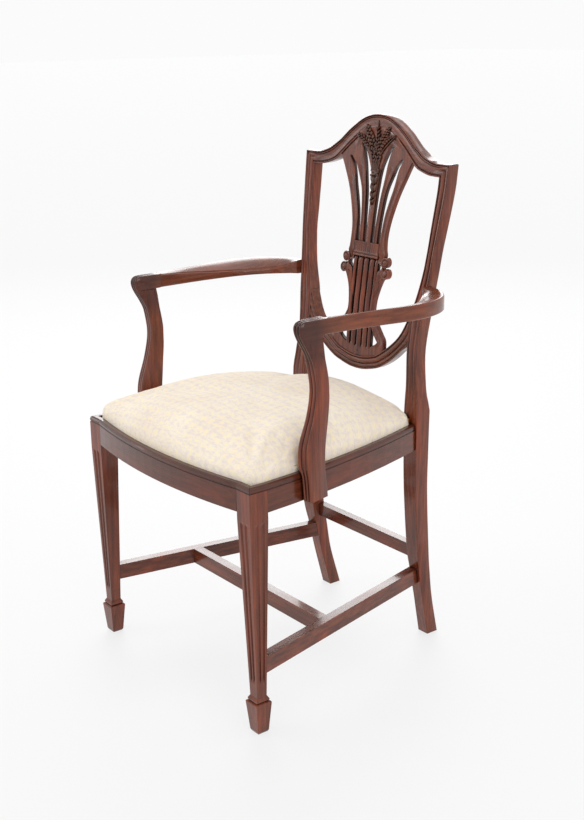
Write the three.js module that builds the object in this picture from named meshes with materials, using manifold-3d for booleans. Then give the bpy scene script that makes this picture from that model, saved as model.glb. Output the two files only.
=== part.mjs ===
import * as THREE from 'three';
import { mergeVertices } from 'three/addons/utils/BufferGeometryUtils.js';
import Module from 'manifold-3d';

const wasm = await Module();
wasm.setup();

// A shield back armchair. Millimetres, +Z up, sitter facing -Y, sitter's left at +X.
// While it is built, the front faces of the posts at the seat lie in the plane Y = 0.

// Fits
const gap = 0.3;
const overrun = 2;

// Levels, most of them measured from the top of the seat rails
const seatHeight = 432;
const railDeep = 47;
const shieldRise = 68;
const jointRise = 194;
const cornerRise = 451.5;
const crestRise = 74.5;
const crestArch = 76.5;
const crestEndDeep = 22.5;

// Plan of the seat, at the outer faces of the legs, posts and rails
const frontHalf = 249.6;
const seatDepth = 416;
const frontBow = 21;
const sideBow = 12;
const sideRailInset = 4;

// Front legs
const legSquare = 35;
const legAnkle = 19.2;
const legSplayOut = 3.5;
const legSplayBack = 2;
const blockDeep = 61;
const spadeHeight = 55.6;
const spadeShoulder = 30.8;
const spadeSole = 22;
const collarHeight = 10.4;
const collarSquare = 25.5;
const fluteFootHeight = 90;
const fluteRunOut = 7;
const fluteDepth = 2.2;

// Rear legs and posts
const cornerHalf = 194;
const footKick = 55.6;
const shieldRake = 51.5;
const postDeep = 28;
const jointHalf = 139;

// Shield
const bowFoot = 6;
const bowTop = 4.5;
const crestThick = 22.6;
const bottomRailThick = 20;
const mouldDepth = 2.4;
const backChamfer = 3;
const crestChamfer = 6;
const bottomRailDeep = 24;

// Splat
const splatThick = 8.5;
const splatSetBack = 3;
const splatHeadHalf = 97;
const splatWaistHalf = 35.5;
const bandRise = 300;
const bandDeep = 27;
const bandHalf = 33.5;
const bandProud = 1.6;
const baseBandDeep = 18;
const lowerSlotWide = 4;
const lowerSlotPitch = 14.4;
const scrollRadius = 7.4;
const scrollHoleHalf = 34.5;
const scrollHoleDrop = 7;
const scrollHoleHigh = 14;
const scrollHoleWide = 5;
const tongueLong = 7;
const tongueThick = 4;
const crestTongueHalf = 80;
const footTongueHalf = 56;

// Arms and their supports
const armRise = 246;
const armDeep = 26;
const armSpread = 273;
const armOverhang = 19;
const armHousing = 6;
const supportSetBack = 108.6;
const supportSweep = 24;
const supportFootDeep = 42;
const supportThick = 25;
const supportProud = 19.8;
const supportFootTurn = 9.7;
const supportTopTurn = 2;
const supportReedDepth = 2;

// Seat rails, planted mouldings and corner blocks
const railThick = 22;
const rearRailDeep = 25;
const rearLip = 16;
const mouldingWide = 11;
const mouldingHigh = 9.7;
const blockDrop = 12;
const blockHigh = 29;
const frontBlockReach = 50;
const rearBlockReach = 55;

// Stretchers
const stretcherThick = 17.5;
const stretcherHigh = 29;
const stretcherTopFront = 134.5;
const stretcherTopRear = 142;
const stretcherFrontInset = 6.1;
const stretcherRearHalf = 157.4;
const crossStretcherFront = 236.4;
const crossStretcherThick = 18;
const rearStretcherTop = 182.5;
const rearStretcherHigh = 24.5;
const rearStretcherBack = 31;
const rearStretcherThick = 16;
const stretcherTenon = 10;

// Mortise and tenon joints
const tenonLong = 14;
const tenonThick = 10;
const tenonInset = 7;

// Drop-in seat
const seatBarWide = 45;
const seatBarHigh = 18;
const dustCoverThick = 1;
const coverThick = 1.8;
const strapWide = 50;
const strapThick = 1.5;
const strapInset = 8;
const strapPitchAcross = 105;
const strapPitchAlong = 112;
const cushionEdge = 13;
const cushionCrown = 50;
const cushionRound = 190;
const cushionCorner = 30;
const cornerSteps = 3;

// Screws
const screwShank = 2;
const screwHead = 4.2;
const screwHeadHigh = 3;
const screwLong = 32;

// Counts
const postSteps = 42;
const crestSteps = 44;
const bottomRailSteps = 36;
const armSteps = 22;
const supportSteps = 18;
const railSteps = 8;
const outlineSteps = 14;
const screwSteps = 8;

// Colours
const mahogany = 0x6b4038;
const beech = 0xc7a57c;
const linen = 0xe9dcc6;
const jute = 0xb39a6a;
const calico = 0x3b3430;
const steel = 0x8c8f94;

// Line of the rear leg and post. Below the seat each row gives, as shares, the height, the outer
// edge, the inner edge, the backward kick and the depth.
const postBelowShares = [
  [0, 0.815, 0.685, 1, 0.936],
  [0.185, 0.837, 0.713, 0.664, 0.893],
  [0.324, 0.853, 0.712, 0.446, 0.971],
  [0.407, 0.87, 0.712, 0.313, 1.02],
  [0.7, 0.897, 0.729, 0.083, 1.06],
  [0.89, 0.916, 0.74, 0.011, 1.11],
  [1, 0.921, 0.742, 0, 1.13],
];

// Above the seat: height up to the corners, outer edge, inner edge, rake and depth.
const postAboveShares = [
  [0.06, 0.921, 0.742, 0, 1.14],
  [0.095, 0.917, 0.742, 0.014, 0.95],
  [0.15, 0.895, 0.738, 0.056, 0.86],
  [0.283, 0.857, 0.7165, 0.146, 0.86],
  [0.43, 0.888, 0.7165, 0.3, 0.82],
  [0.482, 0.901, 0.757, 0.375, 0.79],
  [0.53, 0.912, 0.789, 0.43, 0.775],
  [0.597, 0.927, 0.82, 0.515, 0.77],
  [0.681, 0.944, 0.845, 0.604, 0.785],
  [0.769, 0.9655, 0.853, 0.724, 0.8],
  [0.902, 0.994, 0.871, 0.905, 0.81],
  [1, 1, 0.876, 1, 0.81],
];

// Crest rail from the middle to the corner: half-width, upper edge, half-width, lower edge.
const crestShares = [
  [0, 1, 0, 1],
  [0.064, 0.99, 0.052, 0.99],
  [0.13, 0.96, 0.103, 0.961],
  [0.195, 0.906, 0.16, 0.908],
  [0.263, 0.819, 0.216, 0.824],
  [0.325, 0.718, 0.278, 0.72],
  [0.392, 0.605, 0.34, 0.6],
  [0.459, 0.464, 0.412, 0.46],
  [0.521, 0.336, 0.49, 0.288],
  [0.593, 0.22, 0.557, 0.148],
  [0.665, 0.115, 0.639, 0.07],
  [0.742, 0.046, 0.727, 0.017],
  [0.809, 0.005, 0.799, 0.003],
  [0.881, -0.001, 0.881, 0],
  [1, 0.002, 1, 0],
];

// Bottom rail of the shield from the middle to its joint: half-width, lower edge, half-width, inner edge.
const bottomRailShares = [
  [0, 0, 0, 0],
  [0.144, 0.02, 0.122, 0.008],
  [0.36, 0.122, 0.331, 0.07],
  [0.468, 0.203, 0.41, 0.113],
  [0.626, 0.389, 0.5, 0.19],
  [0.755, 0.588, 0.64, 0.32],
  [0.878, 0.817, 0.8, 0.515],
  [0.95, 0.925, 0.9, 0.71],
  [1, 1, 1, 1],
];
const bottomRailEndShare = 0.52;

// Moulded faces, from one edge to the other: place, and depth sunk.
const reededShares = [[0, 0.5], [0.06, 0], [0.27, 0], [0.335, 1], [0.4, 0], [0.6, 0], [0.665, 1],
  [0.73, 0], [0.94, 0], [1, 0.5]];
const hollowShares = [[0, 0.5], [0.05, 0], [0.15, 0], [0.2, 0.8], [0.35, 1.1], [0.5, 1.25], [0.65, 1.1],
  [0.8, 0.8], [0.85, 0], [0.95, 0], [1, 0.5]];
const fluteShares = [[0.2, 0], [0.25, 1], [0.41, 1], [0.46, 0.1], [0.54, 0.1], [0.59, 1], [0.75, 1], [0.8, 0]];

// Profile of the planted moulding: inward from its face, and upward.
const mouldingShares = [[0.08, 0], [0.08, 0.12], [0, 0.2], [0, 0.55], [0.1, 0.82], [0.32, 1], [1, 1], [1, 0]];

// Side of the splat above the band: height from the band to the head, and half-width.
const splatUpperShares = [[1, 1.005], [0.79, 0.83], [0.605, 0.69], [0.42, 0.588], [0.24, 0.514], [0.07, 0.482],
  [-0.07, 0.495], [-0.13, 0.525]];

// Side of the splat below the scrolls: height from the foot to the band, and half-width.
const splatLowerShares = [[0.925, 1.346], [0.87, 1.563], [0.825, 1.504], [0.77, 1.313], [0.69, 1.146],
  [0.58, 1.014], [0.46, 1], [0.365, 1.107], [0.3, 1.268], [0.21, 1.507], [0.15, 1.74]];
const scrollShares = [[0.97, 1.479], [0.86, 1.606]];

// Slots of the upper splat: height from the band to the head, inner edge, outer edge.
const innerSlotShares = [[0, 0.07, 0.14], [0.12, 0.072, 0.15], [0.24, 0.072, 0.163], [0.35, 0.075, 0.177],
  [0.47, 0.079, 0.193], [0.585, 0.086, 0.214], [0.7, 0.102, 0.248], [0.81, 0.124, 0.283],
  [0.925, 0.165, 0.33], [1.08, 0.27, 0.4], [1.16, 0.36, 0.428], [1.195, 0.412, 0.432]];
const outerSlotShares = [[0, 0.258, 0.34], [0.12, 0.26, 0.348], [0.24, 0.268, 0.363], [0.35, 0.281, 0.39],
  [0.46, 0.3, 0.437], [0.57, 0.328, 0.49], [0.68, 0.373, 0.552], [0.8, 0.445, 0.613],
  [0.91, 0.53, 0.67], [0.98, 0.62, 0.712], [1.03, 0.7, 0.736]];

// Openings beside the foot of the splat: height above the foot, and half-width.
const footHoleShares = [[0.3, 0.958], [0.13, 0.938], [0.165, 1.225], [0.19, 1.36]];

// Arm from nose to post: outer edge half-width and place, inner edge half-width and place, inner drop.
const armShares = [
  [0.925, 0.945, 0.853, 0.948, 0],
  [0.926, 0.925, 0.853, 0.925, 0],
  [0.927, 0.844, 0.859, 0.844, 0.04],
  [0.938, 0.66, 0.864, 0.66, 0.19],
  [0.96, 0.507, 0.863, 0.507, 0.385],
  [0.989, 0.369, 0.85, 0.36, 0.52],
  [1, 0.277, 0.832, 0.262, 0.58],
  [0.993, 0.191, 0.806, 0.182, 0.6],
  [0.963, 0.102, 0.769, 0.108, 0.577],
  [0.912, 0.026, 0.729, 0.053, 0.5],
  [0.835, -0.032, 0.692, 0.01, 0.385],
  [0.751, -0.07, 0.667, -0.015, 0.19],
  [0.645, -0.1, 0.645, -0.032, 0.02],
];
const armNoseShares = [
  [0.917, 0.963, 0.866, 0.963, 0.36],
  [0.922, 0.958, 0.858, 0.96, 0.13],
];
const armNoseBevel = 6;

// Arm support from rail to arm: height, place of the front face, thickness, depth.
const supportShares = [
  [0, 0.154, 0.7, 1],
  [0.115, 0.065, 0.71, 0.976],
  [0.17, 0, 0.72, 0.964],
  [0.205, 0, 0.97, 0.964],
  [0.258, 0, 1, 0.964],
  [0.32, 0.05, 1.02, 0.957],
  [0.378, 0.19, 0.99, 0.917],
  [0.494, 0.608, 0.9, 0.763],
  [0.6, 0.887, 0.88, 0.663],
  [0.674, 0.99, 0.9, 0.6],
  [0.74, 0.95, 0.92, 0.6],
  [0.86, 0.69, 0.9, 0.605],
  [0.925, 0.444, 0.88, 0.635],
  [1, 0.1, 0.86, 0.72],
];

// Crown of the cushion from its edge to its middle: share of the way in, share of the crown.
const roundingShare = 2.5;
const cornerFallShare = 0.42;
const crownShares = [[0, 0], [0.016, 0.34], [0.05, 0.6], [0.115, 0.8], [0.24, 0.92], [0.5, 0.985], [1, 1]];

const { clamp, lerp } = THREE.MathUtils;

// Levels and places that follow from the sizes above
const railBottom = seatHeight - railDeep;
const blockBottom = seatHeight - blockDeep;
const shieldFoot = seatHeight + shieldRise;
const jointTop = seatHeight + jointRise;
const cornerHeight = seatHeight + cornerRise;
const bandTop = seatHeight + bandRise;
const bandBottom = bandTop - bandDeep;
const armTop = seatHeight + armRise;
const stretcherFrontHalf = frontHalf - stretcherFrontInset;
const supportFront = seatDepth - supportSetBack;
const armReach = supportFront + armOverhang;

// A smooth curve through the rows of a table, read by its first column.
function smooth(rows, column) {
  const last = rows.length - 1;
  const slope = (i) => {
    const a = rows[Math.max(i - 1, 0)];
    const b = rows[Math.min(i + 1, last)];
    return (b[column] - a[column]) / (b[0] - a[0]);
  };
  return (at) => {
    let i = 0;
    while (i < last - 1 && at > rows[i + 1][0]) i += 1;
    const span = rows[i + 1][0] - rows[i][0];
    const t = clamp((at - rows[i][0]) / span, 0, 1);
    const a = rows[i][column];
    const b = rows[i + 1][column];
    const start = slope(i) * span;
    const end = slope(i + 1) * span;
    const beyond = Math.max(at - rows[last][0], 0) * slope(last);
    const cubic = (2 * (a - b) + start + end) * t ** 3 + (3 * (b - a) - 2 * start - end) * t ** 2;
    return cubic + start * t + a + beyond;
  };
}

// Straight lines through the rows of a table.
function straight(rows, column) {
  const last = rows.length - 1;
  return (at) => {
    let i = 0;
    while (i < last - 1 && at > rows[i + 1][0]) i += 1;
    const t = clamp((at - rows[i][0]) / (rows[i + 1][0] - rows[i][0]), 0, 1);
    return lerp(rows[i][column], rows[i + 1][column], t);
  };
}

const postRows = [
  ...postBelowShares.map(([z, outer, inner, kick, deep]) => [
    z * seatHeight, outer * cornerHalf, inner * cornerHalf, kick * footKick, deep * postDeep,
  ]),
  ...postAboveShares.map(([z, outer, inner, rake, deep]) => [
    lerp(seatHeight, cornerHeight, z),
    outer * cornerHalf,
    inner * cornerHalf,
    rake * shieldRake,
    deep * postDeep,
  ]),
];
const postOuter = smooth(postRows, 1);
const postInner = straight(postRows, 2);
const postFront = smooth(postRows, 3);
const postDepth = smooth(postRows, 4);

// How far the middle of the shield lies behind the line between its posts.
function bow(z) {
  const rise = clamp((z - seatHeight) / (shieldFoot - seatHeight), 0, 1);
  return rise * lerp(bowFoot, bowTop, clamp((z - shieldFoot) / (cornerHeight - shieldFoot), 0, 1));
}

// Front surface of the shield.
function shieldFace(x, z) {
  const edge = Math.min(postOuter(z), cornerHalf);
  return postFront(z) + bow(z) * (1 - (x / edge) ** 2);
}

// Outer line of the front rail and of the side rails, over the front legs too.
function frontEdge(x) {
  const inside = frontHalf - legSquare;
  return -seatDepth - frontBow * Math.max(0, 1 - (x / inside) ** 2);
}
const railRearHalf = postOuter(seatHeight) - sideRailInset;
function sideEdge(y) {
  const run = seatDepth - legSquare;
  const t = clamp(1 + y / run, 0, 1);
  return lerp(frontHalf, railRearHalf, t) + sideBow * (1 - (2 * t - 1) ** 2);
}

// Evenly spaced places from one to another, both included.
function places(from, to, steps) {
  return Array.from({ length: steps + 1 }, (_, i) => lerp(from, to, i / steps));
}

function volume(geometry) {
  const p = geometry.attributes.position;
  const index = geometry.index;
  const corner = (k) => new THREE.Vector3().fromBufferAttribute(p, index.getX(k));
  let sum = 0;
  for (let k = 0; k < index.count; k += 3) {
    sum += corner(k).dot(corner(k + 1).cross(corner(k + 2)));
  }
  return sum;
}

function turnOver(geometry) {
  const index = geometry.index;
  for (let k = 0; k < index.count; k += 3) {
    const second = index.getX(k + 1);
    index.setX(k + 1, index.getX(k + 2));
    index.setX(k + 2, second);
  }
  return geometry;
}

// Merged corners, positions only, faces pointing out.
function tidy(geometry) {
  geometry.deleteAttribute('normal');
  geometry.deleteAttribute('uv');
  const merged = mergeVertices(geometry);
  return volume(merged) < 0 ? turnOver(merged) : merged;
}

function mirrored(geometry) {
  const copy = geometry.clone();
  copy.scale(-1, 1, 1);
  return turnOver(copy);
}

function middleOf(ring) {
  const middle = new THREE.Vector3();
  ring.forEach((p) => middle.addScaledVector(p, 1 / ring.length));
  return middle;
}

// A solid through rings with the same number of points, closed by a fan at each end.
function loft(rings, first = middleOf(rings[0]), final = middleOf(rings[rings.length - 1])) {
  const size = rings[0].length;
  const points = rings.flat();
  const faces = [];
  for (let r = 0; r + 1 < rings.length; r += 1) {
    for (let i = 0; i < size; i += 1) {
      const next = (i + 1) % size;
      const a = r * size;
      const b = a + size;
      faces.push(a + i, a + next, b + next, a + i, b + next, b + i);
    }
  }
  for (const [r, flip, middle] of [[0, true, first], [rings.length - 1, false, final]]) {
    points.push(middle);
    for (let i = 0; i < size; i += 1) {
      const a = r * size + i;
      const b = r * size + ((i + 1) % size);
      faces.push(points.length - 1, flip ? b : a, flip ? a : b);
    }
  }
  const geometry = new THREE.BufferGeometry().setFromPoints(points);
  geometry.setIndex(faces);
  return tidy(geometry);
}

// A plan outline raised from one level to another.
function prism(outline, low, high) {
  const shape = new THREE.Shape(outline.map(([x, y]) => new THREE.Vector2(x, y)));
  const geometry = new THREE.ExtrudeGeometry(shape, { depth: high - low, bevelEnabled: false });
  geometry.translate(0, 0, low);
  return tidy(geometry);
}

function box([x0, x1], [y0, y1], [z0, z1]) {
  const geometry = new THREE.BoxGeometry(x1 - x0, y1 - y0, z1 - z0);
  geometry.translate((x0 + x1) / 2, (y0 + y1) / 2, (z0 + z1) / 2);
  return tidy(geometry);
}

const grow = ([low, high], by) => [low - by, high + by];

function solid(geometry) {
  const mesh = new wasm.Mesh({
    numProp: 3,
    vertProperties: new Float32Array(geometry.attributes.position.array),
    triVerts: new Uint32Array(geometry.index.array),
  });
  mesh.merge();
  return new wasm.Manifold(mesh);
}

function fromSolid(manifold) {
  const mesh = manifold.getMesh();
  const geometry = new THREE.BufferGeometry();
  geometry.setAttribute('position', new THREE.BufferAttribute(mesh.vertProperties, 3));
  geometry.setIndex(new THREE.BufferAttribute(mesh.triVerts, 1));
  return geometry;
}

const cut = (geometry, ...tools) => fromSolid(tools.reduce((s, t) => s.subtract(solid(t)), solid(geometry)));
const join = (geometry, ...others) => fromSolid(others.reduce((s, t) => s.add(solid(t)), solid(geometry)));
const vector = (x, y, z) => new THREE.Vector3(x, y, z);

// A ring round a member of the back, from point a to point b of its face, each given as [x, z].
function memberRing(a, b, thick, shares, sunk, grown = 0, bevel = backChamfer) {
  const long = Math.hypot(b[0] - a[0], b[1] - a[1]);
  const ring = [];
  const place = (share, deep) => {
    const along = share + ((2 * share - 1) * grown) / long;
    const x = lerp(a[0], b[0], along);
    const z = lerp(a[1], b[1], along);
    ring.push(vector(x, shieldFace(x, z) + deep, z));
  };
  for (const [share, depth] of shares) place(share, depth * sunk - grown);
  const chamfer = Math.min(bevel / long, 1 / 4);
  place(1, thick - bevel + grown);
  place(1 - chamfer, thick + grown);
  place(chamfer, thick + grown);
  place(0, thick - bevel + grown);
  return ring;
}

// Rear leg and post, left side. Plain below the seat, moulded above it.
const crestFoot = cornerHeight - crestEndDeep;
const postTop = crestFoot - gap;
function postLoft(grown = 0) {
  const rings = [];
  for (let i = 0; i <= postSteps; i += 1) {
    const z = (postTop * i) / postSteps;
    const fade = clamp((z - seatHeight) / (shieldFoot - seatHeight), 0, 1);
    const inner = [postInner(z), z];
    const outer = [postOuter(z), z];
    rings.push(memberRing(inner, outer, postDepth(z), reededShares, mouldDepth * fade, grown));
  }
  return loft(rings);
}

// Joints: a tenon box on one piece and its mortise, larger all round by the gap, in the other.
const sideTenonX = [railRearHalf - tenonInset - tenonThick, railRearHalf - tenonInset];
const railTenonZ = [railBottom + tenonInset, seatHeight - mouldingHigh - tenonInset];
const railTop = seatHeight - mouldingHigh - gap;
const sideRearTenon = [sideTenonX, [-tenonLong, tenonLong], railTenonZ];
const rearRailTenonY = [tenonInset, rearRailDeep - tenonInset];
const postInnerAtSeat = postInner(railBottom);
const rearRailTenonX = [postInnerAtSeat - tenonLong, postInnerAtSeat + tenonThick];
const rearRailTenon = [rearRailTenonX, rearRailTenonY, railTenonZ];
const legInner = frontHalf - legSquare;
const legBack = legSquare - seatDepth;
const frontTenonY = [tenonInset - seatDepth, tenonInset + tenonThick - seatDepth];
const frontRailTenon = [[legInner - tenonLong, legInner + tenonLong], frontTenonY, railTenonZ];
const sideFrontTenonX = [frontHalf - tenonInset - tenonThick, frontHalf - tenonInset];
const sideFrontTenon = [sideFrontTenonX, [legBack - tenonLong, legBack + tenonLong], railTenonZ];

// Centre line of a side stretcher at a place along it, and its joints.
const stretcherFrontY = legBack - legSplayBack;
const stretcherRearY = postFront(stretcherTopRear);
function stretcherAt(y) {
  const t = (y - stretcherFrontY) / (stretcherRearY - stretcherFrontY);
  return {
    outer: lerp(stretcherFrontHalf, stretcherRearHalf, t),
    top: lerp(stretcherTopFront, stretcherTopRear, t),
  };
}
function stretcherTenonBox(y, reach) {
  const { outer, top } = stretcherAt(y);
  const middle = outer - stretcherThick / 2;
  const half = stretcherThick / 4;
  return [[middle - half, middle + half], reach, [top - stretcherHigh + tenonInset, top - tenonInset]];
}
const legStretcherTenon = stretcherTenonBox(stretcherFrontY,
  [stretcherFrontY - stretcherTenon, stretcherFrontY + stretcherTenon]);
const postStretcherTenon = stretcherTenonBox(stretcherRearY,
  [stretcherRearY - stretcherTenon, stretcherRearY + stretcherTenon]);
const crossY = [-crossStretcherFront, crossStretcherThick - crossStretcherFront];
const crossMiddle = stretcherAt((crossY[0] + crossY[1]) / 2);
const crossInner = crossMiddle.outer - stretcherThick;
const crossZ = [crossMiddle.top - stretcherHigh, crossMiddle.top];
const crossTenon = [[crossInner - stretcherTenon, crossInner + stretcherTenon],
  [crossY[0] + crossStretcherThick / 4, crossY[1] - crossStretcherThick / 4], grow(crossZ, -tenonInset)];
const rearStretcherZ = [rearStretcherTop - rearStretcherHigh, rearStretcherTop];
const rearStretcherY = [rearStretcherBack, rearStretcherBack + rearStretcherThick];
const rearStretcherInner = postInner(rearStretcherTop);
const rearStretcherTenon = [[rearStretcherInner - stretcherTenon, rearStretcherInner + stretcherTenon],
  grow(rearStretcherY, -rearStretcherThick / 4), grow(rearStretcherZ, -tenonInset)];

const mortise = (limits) => box(...limits.map((span) => grow(span, gap)));
const tenon = (limits) => box(...limits);

// Tenons of the post: up into the crest, and of the shield's bottom rail into the post.
const postTopMiddle = (postInner(crestFoot) + postOuter(crestFoot)) / 2;
const postTopFace = shieldFace(postTopMiddle, crestFoot);
const crestTenon = [
  [postTopMiddle - tenonThick / 2, postTopMiddle + tenonThick / 2],
  [postTopFace + crestThick / 3, postTopFace + (2 * crestThick) / 3],
  [postTop - tenonInset, crestFoot + tenonThick],
];
const bottomRailFoot = lerp(shieldFoot, jointTop, bottomRailEndShare);
const jointMiddle = (bottomRailFoot + jointTop) / 2;
const jointFace = shieldFace(jointHalf, jointMiddle);
const bottomRailTenon = [[jointHalf - tenonLong, jointHalf + tenonThick],
  [jointFace + bottomRailThick / 3, jointFace + (2 * bottomRailThick) / 3],
  [jointMiddle - tenonThick, jointMiddle + tenonThick]];

// Screws: countersunk heads, drilled holes larger all round by the gap.
function screwGeometry(grown) {
  const head = screwHead + grown;
  const shank = screwShank + grown;
  const long = screwLong + grown;
  const cone = [[0, -grown], [head, -grown], [head, screwHeadHigh / 3], [shank, screwHeadHigh]];
  const profile = [...cone, [shank, long - shank], [0, long]];
  const lathe = new THREE.LatheGeometry(profile.map(([r, at]) => new THREE.Vector2(r, at)), screwSteps);
  return tidy(lathe);
}

// Places a screw with its head at a point, driven along a direction.
function screwAt(head, direction, grown = 0) {
  const geometry = screwGeometry(grown);
  const turn = new THREE.Quaternion().setFromUnitVectors(vector(0, 1, 0), direction.clone().normalize());
  geometry.applyQuaternion(turn);
  geometry.translate(head.x, head.y, head.z);
  return geometry;
}

// Room for a sunk head and the driver behind it.
function driverBore(head, direction, long) {
  const bore = tidy(new THREE.CylinderGeometry(screwHead + gap, screwHead + gap, long, screwSteps));
  bore.translate(0, -long / 2 - gap / 2, 0);
  bore.applyQuaternion(new THREE.Quaternion().setFromUnitVectors(vector(0, 1, 0), direction));
  bore.translate(head.x, head.y, head.z);
  return bore;
}

// Corner blocks, left side, with a cut corner round the front leg.
const frontInside = (x) => frontEdge(x) + railThick + gap;
const sideInside = (y) => sideEdge(y) - railThick - gap;
function frontBlockOutline() {
  const back = legBack + gap;
  const edge = legInner - gap;
  return [
    [edge - frontBlockReach, frontInside(edge - frontBlockReach)],
    [edge, frontInside(edge)],
    [edge, back],
    [sideInside(back), back],
    [sideInside(back + frontBlockReach), back + frontBlockReach],
  ];
}
function rearBlockOutline() {
  return [
    [sideInside(-gap), -gap],
    [sideInside(-gap) - rearBlockReach, -gap],
    [sideInside(-rearBlockReach), -rearBlockReach],
  ];
}
const blockTop = seatHeight - blockDrop;
const blockMiddle = blockTop - blockHigh / 2;
const frontScrewX = legInner - frontBlockReach / 2;
const sideScrewY = legBack + frontBlockReach / 2;
const rearScrewX = sideInside(-gap) - rearBlockReach / 2;
const rearSideScrewY = -rearBlockReach / 2;
const screwGrip = screwLong - railThick / 2;
const blockScrews = {
  front_block_screw_front: [
    vector(frontScrewX, frontInside(frontScrewX) + screwGrip, blockMiddle), vector(0, -1, 0),
  ],
  front_block_screw_side: [
    vector(sideInside(sideScrewY) - screwGrip, sideScrewY, blockMiddle), vector(1, 0, 0),
  ],
  rear_block_screw_rear: [vector(rearScrewX, -screwGrip, blockMiddle), vector(0, 1, 0)],
  rear_block_screw_side: [
    vector(sideInside(rearSideScrewY) - screwGrip, rearSideScrewY, blockMiddle), vector(1, 0, 0),
  ],
};
const sideBlockScrews = ['front_block_screw_side', 'rear_block_screw_side'];

// Screws through the side rail into the arm support, heads inside, and through the post into the arm.
const supportMiddle = supportFootDeep / 2 - supportFront;
const supportScrewLevels = {
  upper: lerp(railBottom, railTop, 0.75),
  lower: lerp(railBottom, railTop, 0.25),
};
function supportScrewSpot(level) {
  const x = sideEdge(supportMiddle) - railThick + screwHeadHigh / 3;
  return [vector(x, supportMiddle, level), vector(1, 0, 0)];
}
const armMiddle = armTop - armDeep / 2;
const armScrewY = postFront(armMiddle) + postDepth(armMiddle) * 0.45;
const armScrewSpot = [vector(postInner(armMiddle) + screwHeadHigh / 3, armScrewY, armMiddle), vector(1, 0, 0)];

function makePost() {
  const plain = join(postLoft(), tenon(crestTenon));
  const tenons = [sideRearTenon, rearRailTenon, postStretcherTenon, rearStretcherTenon, bottomRailTenon];
  const mortises = tenons.map(mortise);
  return cut(plain, ...mortises, screwAt(...armScrewSpot, gap), driverBore(...armScrewSpot, postDeep / 4));
}

// Front leg, left side, in rings from the sole up. Flutes sink its front and outer faces.
function legRing(z, square, sunk, grown = 0) {
  const t = z / seatHeight;
  const x = lerp(frontHalf - legSquare / 2 + legSplayOut, frontHalf - legSquare / 2, t);
  const y = lerp(legSquare / 2 - seatDepth + legSplayBack, legSquare / 2 - seatDepth, t);
  const half = square / 2 + grown;
  const ring = [vector(x - half, y - half, z)];
  for (const [share, depth] of fluteShares) {
    ring.push(vector(x + half * (2 * share - 1), y - half + depth * sunk, z));
  }
  ring.push(vector(x + half, y - half, z));
  for (const [share, depth] of fluteShares) {
    ring.push(vector(x + half - depth * sunk, y + half * (2 * share - 1), z));
  }
  ring.push(vector(x + half, y + half, z), vector(x - half, y + half, z));
  return ring;
}

const ankleHeight = spadeHeight + collarHeight;
function legSquareAt(z) {
  return lerp(legAnkle, legSquare, clamp((z - ankleHeight) / (blockBottom - ankleHeight), 0, 1));
}

function legLoft(grown = 0) {
  const rings = [
    [0, spadeSole - backChamfer, 0],
    [backChamfer, spadeSole, 0],
    [spadeHeight - backChamfer / 2, spadeShoulder, 0],
    [spadeHeight, spadeShoulder - backChamfer / 2, 0],
    [spadeHeight + collarHeight / 8, collarSquare - backChamfer, 0],
    [spadeHeight + collarHeight / 4, collarSquare, 0],
    [spadeHeight + collarHeight / 2, collarSquare, 0],
    [spadeHeight + (3 * collarHeight) / 4, collarSquare - backChamfer, 0],
    [ankleHeight, legAnkle, 0],
    [fluteFootHeight, legSquareAt(fluteFootHeight), 0],
    [fluteFootHeight + fluteRunOut, legSquareAt(fluteFootHeight + fluteRunOut), fluteDepth],
    [blockBottom - fluteRunOut, legSquareAt(blockBottom - fluteRunOut), fluteDepth],
    [blockBottom, legSquare, 0],
    [railTop, legSquare, 0],
  ];
  return loft(rings.map(([z, square, sunk]) => legRing(z, square, sunk, grown)));
}

function makeFrontLeg() {
  return cut(legLoft(), mortise(frontRailTenon), mortise(sideFrontTenon), mortise(legStretcherTenon));
}

// Crest rail, in rings from corner to corner.
const crestUpper = (row) => [row[0] * cornerHalf, cornerHeight + row[1] * crestRise];
const crestLower = (row) => [row[2] * cornerHalf, crestFoot + row[3] * crestArch];
const crestLine = crestShares.map((row) => [row[0], ...crestUpper(row), ...crestLower(row)]);
const crestAt = [1, 2, 3, 4].map((column) => smooth(crestLine, column));
const crestUnder = smooth(crestShares.map((row) => [row[2] * cornerHalf, crestLower(row)[1]]), 1);

function crestLoft(grown = 0) {
  const rings = [];
  for (let i = 0; i <= crestSteps; i += 1) {
    const along = (2 * i) / crestSteps - 1;
    const [ux, uz, lx, lz] = crestAt.map((line) => line(Math.abs(along)));
    const side = Math.sign(along);
    const [upper, lower] = [[side * ux, uz], [side * lx, lz]];
    rings.push(memberRing(upper, lower, crestThick, hollowShares, mouldDepth, grown, crestChamfer));
  }
  return loft(rings);
}

// A board of the back: a face outline, given as [x, z], at a depth behind the shield's face.
function faceBoard(outline, front, thick) {
  const shape = new THREE.Shape(outline.map(([x, z]) => new THREE.Vector2(x, z)));
  const geometry = new THREE.ExtrudeGeometry(shape, { depth: thick, bevelEnabled: false });
  const p = geometry.attributes.position;
  for (let i = 0; i < p.count; i += 1) {
    const x = p.getX(i);
    const z = p.getY(i);
    p.setXYZ(i, x, shieldFace(x, z) + front + p.getZ(i), z);
  }
  return tidy(geometry);
}

// Bottom rail of the shield.
const bottomInnerFoot = shieldFoot + bottomRailDeep;
const bottomRailLine = bottomRailShares.map((row) => [
  row[0], row[0] * jointHalf, lerp(shieldFoot, bottomRailFoot, row[1]), row[2] * jointHalf,
  lerp(bottomInnerFoot, jointTop, row[3]),
]);
const bottomRailAt = [1, 2, 3, 4].map((column) => smooth(bottomRailLine, column));
const bottomRailOver = smooth(bottomRailShares.map((row, i) => [row[2] * jointHalf, bottomRailLine[i][4]]), 1);

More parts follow.
